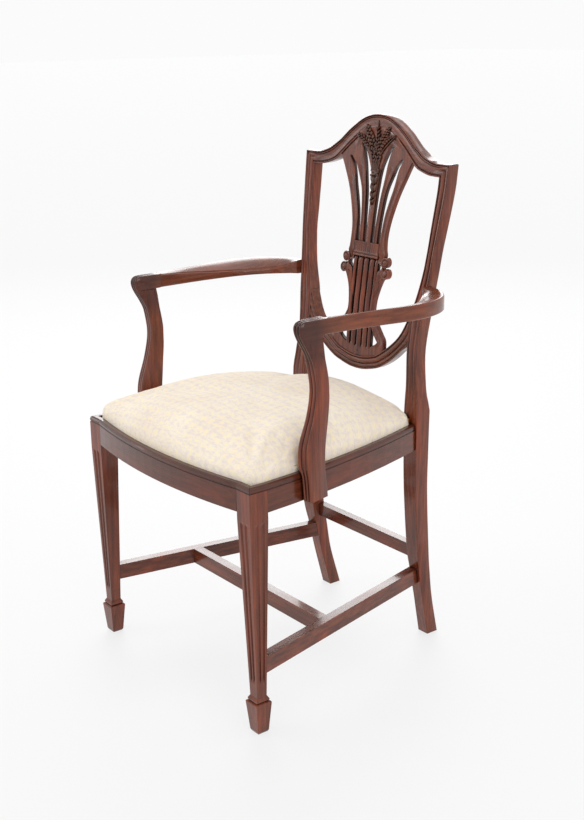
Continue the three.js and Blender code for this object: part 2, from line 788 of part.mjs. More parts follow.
function bottomRailLoft(grown = 0) {
  const rings = [];
  for (let i = 0; i <= bottomRailSteps; i += 1) {
    const along = (2 * i) / bottomRailSteps - 1;
    const [ox, oz, ix, iz] = bottomRailAt.map((line) => line(Math.abs(along)));
    const side = Math.sign(along) * (1 - gap / jointHalf);
    rings.push(memberRing([side * ox, oz], [side * ix, iz], bottomRailThick, reededShares, mouldDepth, grown));
  }
  return loft(rings);
}

// Tongues of the splat and the grooves that take them.
const tongueFront = splatSetBack + (splatThick - tongueThick) / 2;
function tongue(half, edge, direction, grown) {
  const near = [];
  const far = [];
  for (let i = 0; i <= outlineSteps; i += 1) {
    const x = lerp(-half - grown, half + grown, i / outlineSteps);
    near.push([x, edge(Math.abs(x)) - direction * tongueLong]);
    far.push([x, edge(Math.abs(x)) + direction * (tongueLong + grown)]);
  }
  return faceBoard([...near, ...far.reverse()], tongueFront - grown, tongueThick + 2 * grown);
}
const crestTongue = (grown) => tongue(crestTongueHalf, crestUnder, 1, grown);
const footTongue = (grown) => tongue(footTongueHalf, bottomRailOver, -1, grown);

function makeCrest() {
  const left = mortise(crestTenon);
  return cut(crestLoft(), left, mirrored(left), crestTongue(gap));
}

function makeBottomRail() {
  const peg = tenon(bottomRailTenon);
  return cut(join(bottomRailLoft(), peg, mirrored(peg)), footTongue(gap));
}

// Splat
const headLevel = crestUnder(splatHeadHalf);
const bandSpan = headLevel - bandTop;
const splatFoot = bottomInnerFoot;
const lowerSpan = bandBottom - splatFoot;
const bothSides = (half) => [...half.map(([x, z]) => [-x, z]), ...half.reverse()];

// The right half of the outline, from the middle of the head down to the middle of the foot, before
// its head and foot are scribed to the rails.
function splatHalf() {
  const half = [];
  for (let i = 0; i < outlineSteps; i += 1) {
    const x = lerp(gap, splatHeadHalf, i / outlineSteps);
    half.push([x, crestUnder(x) + overrun]);
  }
  for (const [z, x] of splatUpperShares) half.push([x * splatHeadHalf, bandTop + z * bandSpan]);
  for (const [z, x] of splatLowerShares) half.push([x * splatWaistHalf, splatFoot + z * lowerSpan]);
  const heel = half[half.length - 1][0];
  for (let i = 0; i < outlineSteps; i += 1) {
    const x = lerp(heel, gap, i / outlineSteps);
    half.push([x, bottomRailOver(x) - overrun]);
  }
  return half;
}

function upperSlot(shares, side) {
  const inner = shares.map(([z, a]) => [side * a * splatHeadHalf, bandTop + z * bandSpan]);
  const outer = shares.map(([z, , b]) => [side * b * splatHeadHalf, bandTop + z * bandSpan]);
  return [...inner, ...outer.reverse()];
}

function lowerSlot(middle) {
  const low = bottomRailOver(Math.abs(middle)) + baseBandDeep;
  const half = lowerSlotWide / 2;
  return [[middle - half, low + half], [middle, low], [middle + half, low + half],
    [middle + half, bandBottom - half], [middle, bandBottom], [middle - half, bandBottom - half]];
}

function footHole(side) {
  return footHoleShares.map(([z, x]) => [side * x * splatWaistHalf, splatFoot + z * lowerSpan]);
}

function scrollHole(side) {
  const high = bandBottom - scrollHoleDrop;
  const middle = high - scrollHoleHigh / 2;
  const half = scrollHoleWide / 2;
  return [[side * (scrollHoleHalf - half), middle], [side * scrollHoleHalf, high - scrollHoleHigh],
    [side * (scrollHoleHalf + half), middle], [side * scrollHoleHalf, high]];
}

function scrollDisc([z, x], side) {
  const points = [];
  for (let i = 0; i < outlineSteps; i += 1) {
    const angle = (2 * Math.PI * i) / outlineSteps;
    points.push([side * x * splatWaistHalf + scrollRadius * Math.cos(angle),
      splatFoot + z * lowerSpan + scrollRadius * Math.sin(angle)]);
  }
  return faceBoard(points, splatSetBack - bandProud, splatThick + bandProud);
}

function makeSplat() {
  const slots = [];
  for (const side of [-1, 1]) {
    slots.push(upperSlot(innerSlotShares, side), upperSlot(outerSlotShares, side));
    slots.push(footHole(side), scrollHole(side));
    slots.push(lowerSlot((side * lowerSlotPitch) / 2), lowerSlot(side * lowerSlotPitch * 1.5));
  }
  const board = faceBoard(bothSides(splatHalf()), splatSetBack, splatThick);
  const through = splatThick + 2 * overrun;
  const pierced = cut(board, ...slots.map((slot) => faceBoard(slot, splatSetBack - overrun, through)));
  const corners = [[-bandHalf, bandBottom], [bandHalf, bandBottom], [bandHalf, bandTop], [-bandHalf, bandTop]];
  const band = faceBoard(corners, splatSetBack - bandProud, splatThick + bandProud);
  const scrolls = [-1, 1].flatMap((side) => scrollShares.map((row) => scrollDisc(row, side)));
  const scribed = cut(pierced, crestLoft(gap), bottomRailLoft(gap));
  return join(scribed, band, ...scrolls, crestTongue(0), footTongue(0));
}

// Arm, left side, in rings from nose to post. Its inner half slopes down towards the sitter.
const armUnder = armTop - armDeep;
function armRing([outerX, outerY, innerX, innerY, drop], bevel = 0) {
  const outer = [outerX * armSpread, -outerY * armReach];
  const inner = [innerX * armSpread, -innerY * armReach];
  const round = armDeep / 8;
  const innerHigh = armTop - drop * armDeep;
  const slant = (z) => (bevel * (armTop - z)) / armDeep;
  const at = (share, z) => vector(lerp(outer[0], inner[0], share), lerp(outer[1], inner[1], share) + slant(z), z);
  return [
    at(0.06, armUnder), at(0, armUnder + round), at(0, armTop - round), at(0.06, armTop),
    at(0.5, lerp(armTop, innerHigh, 0.6)), at(0.94, innerHigh), at(1, innerHigh - round), at(1, armUnder + round),
    at(0.94, armUnder),
  ];
}

// The nose is rounded above and cut back below.
function noseRing([outerX, outerY, innerX, innerY, squash]) {
  return armRing([outerX, outerY, innerX, innerY, 0], armNoseBevel).map((p) => (
    vector(p.x, p.y, lerp(p.z, (armUnder + armTop) / 2, squash))
  ));
}

const armLine = armShares.map((row, i) => [i / (armShares.length - 1), ...row]);
function makeArm() {
  const columns = [1, 2, 3, 4, 5].map((column) => smooth(armLine, column));
  const rings = armNoseShares.map(noseRing);
  for (let i = 0; i <= armSteps; i += 1) {
    const t = i / armSteps;
    rings.push(armRing(columns.map((line) => line(t)), armNoseBevel * Math.max(0, 1 - t * armSteps)));
  }
  const blank = cut(loft(rings), postLoft(gap));
  return cut(blank, mortise(supportTenon), screwAt(...armScrewSpot, gap));
}

// Arm support, left side, in rings from the rail's lower edge up to the arm. It turns with the side rail
// at its foot and with the arm at its top.
const supportRows = supportShares.map(([z, place, thick, deep]) => [
  lerp(railBottom, armUnder - gap, z),
  place * supportSweep - supportFront,
  thick * supportThick,
  deep * supportFootDeep,
]);
const supportFootHalf = sideEdge(-supportFront) + supportProud;
const supportTopHalf = armSpread * armShares[1][0];
const supportFaceAt = smooth(supportRows, 1);
const supportThickAt = straight(supportRows, 2);
const supportDeepAt = smooth(supportRows, 3);

function supportRing(z) {
  const rise = clamp((z - seatHeight) / (armUnder - seatHeight), 0, 1);
  const turn = lerp(supportFootTurn, supportTopTurn, rise) / supportFootDeep;
  const outer = lerp(supportFootHalf, supportTopHalf, rise);
  const front = supportFaceAt(z);
  const at = (across, back) => vector(outer - across - back * turn, front + back - across * turn, z);
  const thick = supportThickAt(z);
  const ring = reededShares.map(([share, depth]) => at((1 - share) * thick, depth * supportReedDepth));
  ring.push(at(0, supportDeepAt(z)), at(thick, supportDeepAt(z)));
  return ring;
}

const supportTopX = supportTopHalf - supportThickAt(armUnder) / 2;
const supportTopY = supportFaceAt(armUnder) + supportDeepAt(armUnder) / 2;
const supportTenon = [[supportTopX - tenonThick / 2, supportTopX + tenonThick / 2],
  [supportTopY - tenonThick / 2, supportTopY + tenonThick / 2], [armUnder - tenonInset, armUnder + tenonLong]];

// What the support is scribed to: the side rail and its moulding, larger all round by the gap.
function railSolid() {
  const rings = places(legBack + gap, -gap, railSteps).map((y) => railRing(
    [sideEdge(y) + gap, y], [sideEdge(y) - railThick - supportThick, y], railBottom - overrun, seatHeight + gap,
  ));
  return loft(rings);
}

function makeSupport() {
  const rings = [];
  for (let i = 0; i <= supportSteps; i += 1) {
    rings.push(supportRing(lerp(railBottom, armUnder - gap, i / supportSteps)));
  }
  const holes = Object.values(supportScrewLevels).map((level) => screwAt(...supportScrewSpot(level), gap));
  return cut(join(cut(loft(rings), railSolid()), tenon(supportTenon)), ...holes);
}

// Seat rails. Each ring is the rail's section, outer side first.
function railRing(outer, inner, low, high) {
  return [vector(...outer, low), vector(...outer, high), vector(...inner, high), vector(...inner, low)];
}

function makeFrontRail() {
  const rings = places(gap - legInner, legInner - gap, 2 * railSteps).map((x) => (
    railRing([x, frontEdge(x)], [x, frontEdge(x) + railThick], railBottom, railTop)
  ));
  const peg = tenon(frontRailTenon);
  const hole = screwAt(...blockScrews.front_block_screw_front, gap);
  return cut(join(loft(rings), peg, mirrored(peg)), hole, mirrored(hole));
}

function makeSideRail() {
  const rings = places(legBack + gap, -gap, railSteps).map((y) => (
    railRing([sideEdge(y), y], [sideEdge(y) - railThick, y], railBottom, railTop)
  ));
  const holes = Object.values(supportScrewLevels).map((level) => screwAt(...supportScrewSpot(level), gap));
  holes.push(...sideBlockScrews.map((name) => screwAt(...blockScrews[name], gap)));
  return cut(join(loft(rings), tenon(sideRearTenon), tenon(sideFrontTenon)), ...holes);
}

function makeRearRail() {
  const half = postInnerAtSeat - gap;
  const board = box([-half, half], [0, rearRailDeep], [railBottom, seatHeight + gap]);
  const rebateZ = [railTop, seatHeight + overrun];
  const rebate = box([-half - overrun, half + overrun], [-overrun, rearRailDeep - rearLip], rebateZ);
  const peg = tenon(rearRailTenon);
  const hole = screwAt(...blockScrews.rear_block_screw_rear, gap);
  return cut(join(cut(board, rebate), peg, mirrored(peg)), hole, mirrored(hole));
}

function makeBlock(outline, names) {
  const block = prism(outline, blockTop - blockHigh, blockTop);
  const tools = names.flatMap((name) => [
    screwAt(...blockScrews[name], gap), driverBore(...blockScrews[name], frontBlockReach),
  ]);
  return cut(block, ...tools);
}

// Planted mouldings, mitred at the front corners.
function mouldingRing(outer, inner) {
  return mouldingShares.map(([inward, up]) => vector(
    lerp(outer[0], inner[0], inward), lerp(outer[1], inner[1], inward), lerp(railTop + gap, seatHeight, up),
  ));
}

function makeFrontMoulding() {
  const half = frontHalf - gap;
  const mitre = (side) => mouldingRing([side * half, -seatDepth],
    [side * (half - mouldingWide), mouldingWide - seatDepth]);
  const run = places(-legInner, legInner, 2 * railSteps).map((x) => (
    mouldingRing([x, frontEdge(x)], [x, frontEdge(x) + mouldingWide])
  ));
  return loft([mitre(-1), ...run, mitre(1)]);
}

function makeSideMoulding() {
  const mitre = mouldingRing([frontHalf, gap - seatDepth],
    [frontHalf - mouldingWide, gap + mouldingWide - seatDepth]);
  const run = places(legBack, -gap, railSteps).map((y) => (
    mouldingRing([sideEdge(y), y], [sideEdge(y) - mouldingWide, y])
  ));
  return loft([mitre, ...run]);
}

// Stretchers. Their ends are scribed to what they meet, then a tenon is added.
function stretcherLoft(from, to, grown = 0) {
  const rings = [from, to].map((y) => {
    const { outer, top } = stretcherAt(y);
    const inner = outer - stretcherThick - grown;
    return railRing([outer + grown, y], [inner, y], top - stretcherHigh - grown, top + grown);
  });
  return loft(rings);
}

function makeSideStretcher() {
  const blank = stretcherLoft(stretcherFrontY - legAnkle / 4, stretcherRearY + postDeep / 4);
  const scribed = cut(blank, legLoft(gap), postLoft(gap));
  return cut(join(scribed, tenon(legStretcherTenon), tenon(postStretcherTenon)), mortise(crossTenon));
}

function makeCrossStretcher() {
  const half = crossInner + stretcherThick / 4;
  const side = stretcherLoft(-seatDepth / 2 - crossStretcherFront / 2, 0, gap);
  const scribed = cut(box([-half, half], crossY, crossZ), side, mirrored(side));
  const peg = tenon(crossTenon);
  return join(scribed, peg, mirrored(peg));
}

function makeRearStretcher() {
  const half = rearStretcherInner + stretcherThick / 4;
  const post = postLoft(gap);
  const scribed = cut(box([-half, half], rearStretcherY, rearStretcherZ), post, mirrored(post));
  const peg = tenon(rearStretcherTenon);
  return join(scribed, peg, mirrored(peg));
}

// Drop-in seat. Its plan lies inside the mouldings by a given margin, notched round the posts.
const dustLow = railTop + gap;
const barLow = dustLow + dustCoverThick + gap;
const barHigh = barLow + seatBarHigh;
const coverMargin = mouldingWide + 2 * gap;
const barMargin = coverMargin + coverThick + gap;
const rearEdge = rearRailDeep - rearLip;
const rearFace = (margin) => rearEdge - margin + mouldingWide;
const notchHalf = (margin) => jointHalf - margin + mouldingWide;

// The left side of the plan from the front corner to the notch and the rear edge.
function planSide(margin) {
  const notch = mouldingWide - margin;
  const side = places(legBack, notch, railSteps).map((y) => [sideEdge(y) - margin, y]);
  const radius = cushionCorner - margin;
  const corner = places(-Math.PI / 2, 0, cornerSteps).map((angle) => [
    frontHalf - cushionCorner + radius * Math.cos(angle), cushionCorner - seatDepth + radius * Math.sin(angle),
  ]);
  return [...corner, ...side, [notchHalf(margin), notch], [notchHalf(margin), rearFace(margin)]];
}

const frontPlaces = places(-legInner, legInner, 2 * railSteps);
const planFront = (margin) => frontPlaces.map((x) => [x, frontEdge(x) + margin]);
const otherSide = (side) => side.map(([x, y]) => [-x, y]).reverse();

function seatPlan(margin) {
  const side = planSide(margin);
  return [...planFront(margin), ...side, ...otherSide(side)];
}

// Bars of the loose frame, cut from its plan.
const frontBarBack = barMargin - seatDepth + seatBarWide;
const rearBarFront = rearFace(barMargin) - seatBarWide;
const barZ = grow([barLow, barHigh], overrun);
const widePlan = [-frontHalf, frontHalf];
function makeSeatFrontBar() {
  const behind = box(widePlan, [frontBarBack, seatDepth], barZ);
  return cut(prism(seatPlan(barMargin), barLow, barHigh), behind);
}

function makeSeatRearBar() {
  const ahead = box(widePlan, [-seatDepth - frontBow, rearBarFront], barZ);
  return cut(prism(seatPlan(barMargin), barLow, barHigh), ahead);
}

function makeSeatSideBar() {
  const along = places(frontBarBack + gap, rearBarFront - gap, railSteps);
  const outer = along.map((y) => [sideEdge(y) - barMargin, y]);
  return prism([...outer, ...outer.map(([x, y]) => [x - seatBarWide, y]).reverse()], barLow, barHigh);
}

const strapLow = barHigh + gap;
const strapCrossLow = strapLow + strapThick + gap;
const strapMargin = barMargin + strapInset;
function makeLongStrap(x) {
  const half = strapWide / 2;
  const front = frontEdge(Math.abs(x) + half) + strapMargin;
  return box([x - half, x + half], [front, rearFace(strapMargin)], [strapLow, strapLow + strapThick]);
}

function makeCrossStrap(y) {
  const half = strapWide / 2;
  const reach = sideEdge(y + half) - strapMargin;
  return box([-reach, reach], [y - half, y + half], [strapCrossLow, strapCrossLow + strapThick]);
}

// The same plan with points along the rear edge too.
function cushionPlan(margin) {
  const side = planSide(margin);
  const across = places(notchHalf(margin), -notchHalf(margin), railSteps).slice(1, -1);
  const rear = across.map((x) => [x, rearFace(margin)]);
  return [...planFront(margin), ...side, ...rear, ...otherSide(side)];
}

// How near each point of the plan is to a corner, from 0 at the middle of a side to 1.
const cushionMiddle = -seatDepth / 2 - frontBow / 3;
const cornered = cushionPlan(coverMargin).map(([x, y]) => (
  Math.min(1, (x / sideEdge(y)) ** 2 * ((y - cushionMiddle) / (seatDepth / 2)) ** 2)
));

// Rings of the cushion's top: the plan drawn in as the crown rises, lower at the corners, and rounded
// towards the middle.
function crownRings(margin, edge) {
  return crownShares.slice(0, -1).map(([inward, up]) => cushionPlan(margin).map(([x, y], i) => {
    const angle = Math.atan2(y - cushionMiddle, x);
    const reach = 1 - inward;
    const blend = Math.min(1, roundingShare * inward);
    const rounded = [cushionRound * Math.cos(angle), cushionMiddle + cushionRound * Math.sin(angle)];
    const near = [lerp(x, rounded[0], blend), lerp(y, rounded[1], blend)];
    const rise = up * cushionCrown * (1 - cornerFallShare * reach * cornered[i]);
    return vector(near[0] * reach, lerp(cushionMiddle, near[1], reach), edge + rise);
  }));
}
const crownTop = (edge) => vector(0, cushionMiddle, edge + cushionCrown);
const levelRing = (margin, z) => cushionPlan(margin).map(([x, y]) => vector(x, y, z));

// A cap of fabric: outer skin down to its hem, inner skin back up, open below.
const coverEdge = seatHeight + cushionEdge;
function makeCover() {
  const lined = coverMargin + coverThick;
  const liningEdge = coverEdge - coverThick;
  const lining = [...crownRings(lined, liningEdge).reverse(), levelRing(lined, barLow)];
  const rings = [...lining, levelRing(coverMargin, barLow), ...crownRings(coverMargin, coverEdge)];
  return loft(rings, crownTop(liningEdge), crownTop(coverEdge));
}

function makePad() {
  const base = levelRing(barMargin, strapCrossLow + strapThick + gap);
  const edge = coverEdge - coverThick - gap;
  return loft([...crownRings(barMargin, edge).reverse(), base], crownTop(edge), middleOf(base));
}

function makeDustCover() {
  return prism(seatPlan(barMargin), dustLow, dustLow + dustCoverThick);
}

// Assembly
const chair = new THREE.Group();

function add(name, geometry, colour, roughness = 0.35, metalness = 0) {
  const material = new THREE.MeshStandardMaterial({ color: colour, roughness, metalness });
  const mesh = new THREE.Mesh(geometry, material);
  mesh.name = name;
  chair.add(mesh);
}

function addPair(name, geometry, colour, roughness, metalness) {
  add(`${name}_left`, geometry, colour, roughness, metalness);
  add(`${name}_right`, mirrored(geometry), colour, roughness, metalness);
}

addPair('rear_leg', makePost(), mahogany);
addPair('front_leg', makeFrontLeg(), mahogany);
add('front_seat_rail', makeFrontRail(), mahogany);
addPair('side_seat_rail', makeSideRail(), mahogany);
add('rear_seat_rail', makeRearRail(), mahogany);
add('front_moulding', makeFrontMoulding(), mahogany);
addPair('side_moulding', makeSideMoulding(), mahogany);
addPair('side_stretcher', makeSideStretcher(), mahogany);
add('cross_stretcher', makeCrossStretcher(), mahogany);
add('rear_stretcher', makeRearStretcher(), mahogany);
add('crest_rail', makeCrest(), mahogany);
add('shield_bottom_rail', makeBottomRail(), mahogany);
add('splat', makeSplat(), mahogany);
addPair('arm', makeArm(), mahogany);
addPair('arm_support', makeSupport(), mahogany);

const frontBlockScrews = ['front_block_screw_front', 'front_block_screw_side'];
const rearBlockScrews = ['rear_block_screw_rear', 'rear_block_screw_side'];
addPair('front_corner_block', makeBlock(frontBlockOutline(), frontBlockScrews), beech, 0.7);
addPair('rear_corner_block', makeBlock(rearBlockOutline(), rearBlockScrews), beech, 0.7);
for (const [name, spot] of Object.entries(blockScrews)) addPair(name, screwAt(...spot), steel, 0.4, 1);
for (const [name, level] of Object.entries(supportScrewLevels)) {
  addPair(`${name}_support_screw`, screwAt(...supportScrewSpot(level)), steel, 0.4, 1);
}
addPair('arm_screw', screwAt(...armScrewSpot), steel, 0.4, 1);

add('seat_front_bar', makeSeatFrontBar(), beech, 0.7);
add('seat_rear_bar', makeSeatRearBar(), beech, 0.7);
addPair('seat_side_bar', makeSeatSideBar(), beech, 0.7);
for (const [name, place] of [['left', 1], ['middle', 0], ['right', -1]]) {
  add(`long_strap_${name}`, makeLongStrap(place * strapPitchAcross), jute, 0.9);
}
for (const [name, place] of [['front', -1], ['middle', 0], ['rear', 1]]) {
  add(`cross_strap_${name}`, makeCrossStrap(cushionMiddle + place * strapPitchAlong), jute, 0.9);
}
add('seat_pad', makePad(), linen, 0.9);
add('seat_cover', makeCover(), linen, 0.85);
add('dust_cover', makeDustCover(), calico, 0.95);

// The chair stands centred over the origin.
const extent = new THREE.Box3().setFromObject(chair);
chair.position.y = -(extent.min.y + extent.max.y) / 2;
const model = new THREE.Group();
model.add(chair);

export default model;
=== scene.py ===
from math import atan2, copysign, cos, exp, hypot, pi, radians, sin, sqrt

import bmesh
import bpy
import numpy as np
from mathutils import Matrix, Vector


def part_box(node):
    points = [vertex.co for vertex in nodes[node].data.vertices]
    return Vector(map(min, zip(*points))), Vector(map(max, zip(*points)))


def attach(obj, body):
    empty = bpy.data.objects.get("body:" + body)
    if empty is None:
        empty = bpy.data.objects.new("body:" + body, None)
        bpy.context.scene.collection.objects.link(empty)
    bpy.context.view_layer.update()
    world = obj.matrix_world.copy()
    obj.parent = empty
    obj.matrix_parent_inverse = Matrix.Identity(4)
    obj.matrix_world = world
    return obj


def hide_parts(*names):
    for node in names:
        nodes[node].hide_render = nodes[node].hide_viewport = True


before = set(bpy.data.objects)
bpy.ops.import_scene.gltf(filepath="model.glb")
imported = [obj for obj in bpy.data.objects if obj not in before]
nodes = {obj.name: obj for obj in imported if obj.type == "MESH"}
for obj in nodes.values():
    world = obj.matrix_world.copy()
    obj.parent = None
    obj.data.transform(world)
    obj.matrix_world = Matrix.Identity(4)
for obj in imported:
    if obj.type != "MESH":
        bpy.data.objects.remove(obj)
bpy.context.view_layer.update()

# Sizes are in millimetres, in the part's own plan, where the posts' fronts lie at y = 0 at the
# seat. SHIFT takes them to the frame.
MM = 0.001
FRONT_OF_MOULDING = 437.0
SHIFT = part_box("front_moulding")[0].y / MM + FRONT_OF_MOULDING

# Levels
SEAT = 432.0
SHIELD_FOOT = 500.0
RAIL_MIDDLE = 524.0
RAIL_TOP = 626.0
BAND_BOTTOM = 705.0
BAND_TOP = 732.0
CREST_FOOT = 861.0
CORNER = 883.5
# Half widths, depth and the front leg's thickness
RAIL_HALF = 139.0
CORNER_HALF = 194.0
FRONT_HALF = 249.6
SEAT_DEPTH = 416.0
LEG = 35.0


def clamp(v):
    return max(0.0, min(1.0, v))


def lerp(a, b, t):
    return a + (b - a) * t


def ease(a, b, v):
    """0 up to a, 1 from b on, and a soft rise between them."""
    t = clamp((v - a) / (b - a))
    return t * t * (3 - 2 * t)


def fall(a, b, v):
    return 1 - ease(a, b, v)


def smooth(rows, column):
    """A smooth curve through the rows of a table, read by the first column."""
    last = len(rows) - 1

    def slope(i):
        a, b = rows[max(i - 1, 0)], rows[min(i + 1, last)]
        return (b[column] - a[column]) / (b[0] - a[0])

    def at(v):
        i = 0
        while i < last - 1 and v > rows[i + 1][0]:
            i += 1
        span = rows[i + 1][0] - rows[i][0]
        t = clamp((v - rows[i][0]) / span)
        a, b = rows[i][column], rows[i + 1][column]
        start, end = slope(i) * span, slope(i + 1) * span
        beyond = max(v - rows[last][0], 0) * slope(last)
        return ((2 * (a - b) + start + end) * t ** 3 + (3 * (b - a) - 2 * start - end) * t ** 2
                + start * t + a + beyond)

    return at


def straight(rows, column):
    """Straight lines through the rows of a table."""
    xs = [r[0] for r in rows]
    ys = [r[column] for r in rows]
    return lambda v: float(np.interp(v, xs, ys))


# Lines of the back, as in the solids
# The posts: level, outer edge, inner edge, front face and depth, as shares of the sizes here
LEG_KICK = 55.6
POST_LEAN = 51.5
POST_DEPTH = 28.0
BELOW_SEAT = [
    (0, 0.815, 0.685, 1, 0.936), (0.185, 0.837, 0.713, 0.664, 0.893),
    (0.324, 0.853, 0.712, 0.446, 0.971), (0.407, 0.87, 0.712, 0.313, 1.02),
    (0.7, 0.897, 0.729, 0.083, 1.06), (0.89, 0.916, 0.74, 0.011, 1.11), (1, 0.921, 0.742, 0, 1.13)]
ABOVE_SEAT = [
    (0.06, 0.921, 0.742, 0, 1.14), (0.095, 0.917, 0.742, 0.014, 0.95),
    (0.15, 0.895, 0.738, 0.056, 0.86), (0.283, 0.857, 0.7165, 0.146, 0.86),
    (0.43, 0.888, 0.7165, 0.3, 0.82), (0.482, 0.901, 0.757, 0.375, 0.79),
    (0.53, 0.912, 0.789, 0.43, 0.775), (0.597, 0.927, 0.82, 0.515, 0.77),
    (0.681, 0.944, 0.845, 0.604, 0.785), (0.769, 0.9655, 0.853, 0.724, 0.8),
    (0.902, 0.994, 0.871, 0.905, 0.81), (1, 1, 0.876, 1, 0.81)]


def post_rows(rows, low, high, back):
    return [(lerp(low, high, z), outer * CORNER_HALF, inner * CORNER_HALF, front * back,
             depth * POST_DEPTH) for z, outer, inner, front, depth in rows]


POST = post_rows(BELOW_SEAT, 0, SEAT, LEG_KICK) + post_rows(ABOVE_SEAT, SEAT, CORNER, POST_LEAN)
post_outer = smooth(POST, 1)
post_inner = straight(POST, 2)
post_front = smooth(POST, 3)
post_depth = smooth(POST, 4)


def bow(z):
    rise = clamp((z - SEAT) / (SHIELD_FOOT - SEAT))
    return rise * lerp(6, 4.5, clamp((z - SHIELD_FOOT) / (CORNER - SHIELD_FOOT)))


def shield_face(x, z):
    edge = min(post_outer(z), CORNER_HALF)
    return post_front(z) + bow(z) * (1 - (x / edge) ** 2)


# The crest: place and rise of its upper edge, then of its lower edge, as shares
CREST_RISE = 74.5
UNDER_RISE = 76.5
CREST = [
    (0, 1, 0, 1), (0.064, 0.99, 0.052, 0.99), (0.13, 0.96, 0.103, 0.961),
    (0.195, 0.906, 0.16, 0.908), (0.263, 0.819, 0.216, 0.824), (0.325, 0.718, 0.278, 0.72),
    (0.392, 0.605, 0.34, 0.6), (0.459, 0.464, 0.412, 0.46), (0.521, 0.336, 0.49, 0.288),
    (0.593, 0.22, 0.557, 0.148), (0.665, 0.115, 0.639, 0.07), (0.742, 0.046, 0.727, 0.017),
    (0.809, 0.005, 0.799, 0.003), (0.881, -0.001, 0.881, 0), (1, 0.002, 1, 0)]
crest_over = smooth([(r[0] * CORNER_HALF, CORNER + r[1] * CREST_RISE) for r in CREST], 1)
crest_under = smooth([(r[2] * CORNER_HALF, CREST_FOOT + r[3] * UNDER_RISE) for r in CREST], 1)

# The bottom rail: the same for its lower, then its upper edge
RAIL = [
    (0, 0, 0, 0), (0.144, 0.02, 0.122, 0.008), (0.36, 0.122, 0.331, 0.07),
    (0.468, 0.203, 0.41, 0.113), (0.626, 0.389, 0.5, 0.19), (0.755, 0.588, 0.64, 0.32),
    (0.878, 0.817, 0.8, 0.515), (0.95, 0.925, 0.9, 0.71), (1, 1, 1, 1)]
RAIL_LOW_TOP = lerp(SHIELD_FOOT, RAIL_TOP, 0.52)
RAIL_LINE = [(low_x, low_x * RAIL_HALF, lerp(SHIELD_FOOT, RAIL_LOW_TOP, low_z), high_x * RAIL_HALF,
              lerp(RAIL_MIDDLE, RAIL_TOP, high_z)) for low_x, low_z, high_x, high_z in RAIL]
rail_at = [smooth(RAIL_LINE, c) for c in (1, 2, 3, 4)]
rail_over = smooth([line[3:] for line in RAIL_LINE], 1)

# Mouldings of the shield, from the inner to the outer edge: place, depth sunk
MOULD = [
    (0, 1.0), (0.02, 0.3), (0.05, 0), (0.085, 0.3), (0.105, 1.4), (0.13, 2.6), (0.155, 2.7),
    (0.18, 1.7), (0.205, 0.9), (0.27, 0.25), (0.35, 0), (0.43, 0.2), (0.49, 0.8), (0.515, 1.9),
    (0.54, 3.0), (0.57, 3.1), (0.6, 2.1), (0.64, 1.6), (0.7, 1.35), (0.77, 1.3), (0.81, 1.7),
    (0.84, 2.7), (0.87, 2.7), (0.895, 1.2), (0.915, 0.3), (0.95, 0), (0.98, 0.3), (1, 1.0)]
mould = straight(MOULD, 1)
CREST_MOULD = [
    (0, 1.0), (0.02, 0.3), (0.06, 0), (0.1, 0.3), (0.125, 1.8), (0.15, 3.0), (0.185, 3.0),
    (0.21, 1.6), (0.25, 1.0), (0.36, 1.15), (0.5, 1.25), (0.62, 1.1), (0.7, 0.95), (0.725, 1.9),
    (0.745, 2.5), (0.765, 1.9), (0.785, 0.9), (0.81, 0.6), (0.835, 0.9), (0.855, 2.2), (0.875, 3.0),
    (0.895, 2.2), (0.915, 0.5), (0.95, 0), (0.98, 0.3), (1, 1.0)]
crest_mould = straight(CREST_MOULD, 1)
CREST_FIELD = 1.15
CREST_THICK = 22.6
RAIL_THICK = 20.0
FACE_STEPS = 72


def to_frame(p):
    return Vector((p[0] * MM, (p[1] + SHIFT) * MM, p[2] * MM))


def put(thing, **values):
    for key, value in values.items():
        setattr(thing, key, value)
    return thing


def linked(name, data):
    obj = bpy.data.objects.new(name, data)
    bpy.context.scene.collection.objects.link(obj)
    return obj


def new_object(name, vertices, faces):
    mesh = bpy.data.meshes.new(name)
    mesh.from_pydata([tuple(to_frame(v)) for v in vertices], [], faces)
    mesh.update()
    bm = bmesh.new()
    bm.from_mesh(mesh)
    bmesh.ops.remove_doubles(bm, verts=bm.verts, dist=1e-6)
    bmesh.ops.recalc_face_normals(bm, faces=bm.faces)
    bm.to_mesh(mesh)
    bm.free()
    return linked(name, mesh)


def loft_data(rings):
    """Vertices and faces of a closed skin through rings with the same number of points."""
    size = len(rings[0])
    vertices = [p for ring in rings for p in ring]
    faces = []
    for r in range(len(rings) - 1):
        a, b = r * size, (r + 1) * size
        for i in range(size):
            j = (i + 1) % size
            faces.append((a + i, a + j, b + j, b + i))
    for r, flip in ((0, True), (len(rings) - 1, False)):
        middle = len(vertices)
        vertices.append(tuple(sum(c) / size for c in zip(*rings[r])))
        for i in range(size):
            a, b = r * size + i, r * size + (i + 1) % size
            faces.append((middle, b, a) if flip else (middle, a, b))
    return vertices, faces


def several(name, parts, degrees):
    """One object of several closed bodies, sharp where faces meet at more than degrees."""
    vertices, faces = [], []
    for v, f in parts:
        base = len(vertices)
        vertices += v
        faces += [tuple(base + i for i in face) for face in f]
    obj = new_object(name, vertices, faces)
    for p in obj.data.polygons:
        p.use_smooth = True
    obj.data.set_sharp_from_angle(angle=radians(degrees))
    return obj


def loft(name, rings):
    return several(name, [loft_data(rings)], 34)


# A quarter round as shares of its radius: how far in from the side, how far along it
ARC = [(1 - cos(pi / 8 * i), sin(pi / 8 * i)) for i in range(5)]


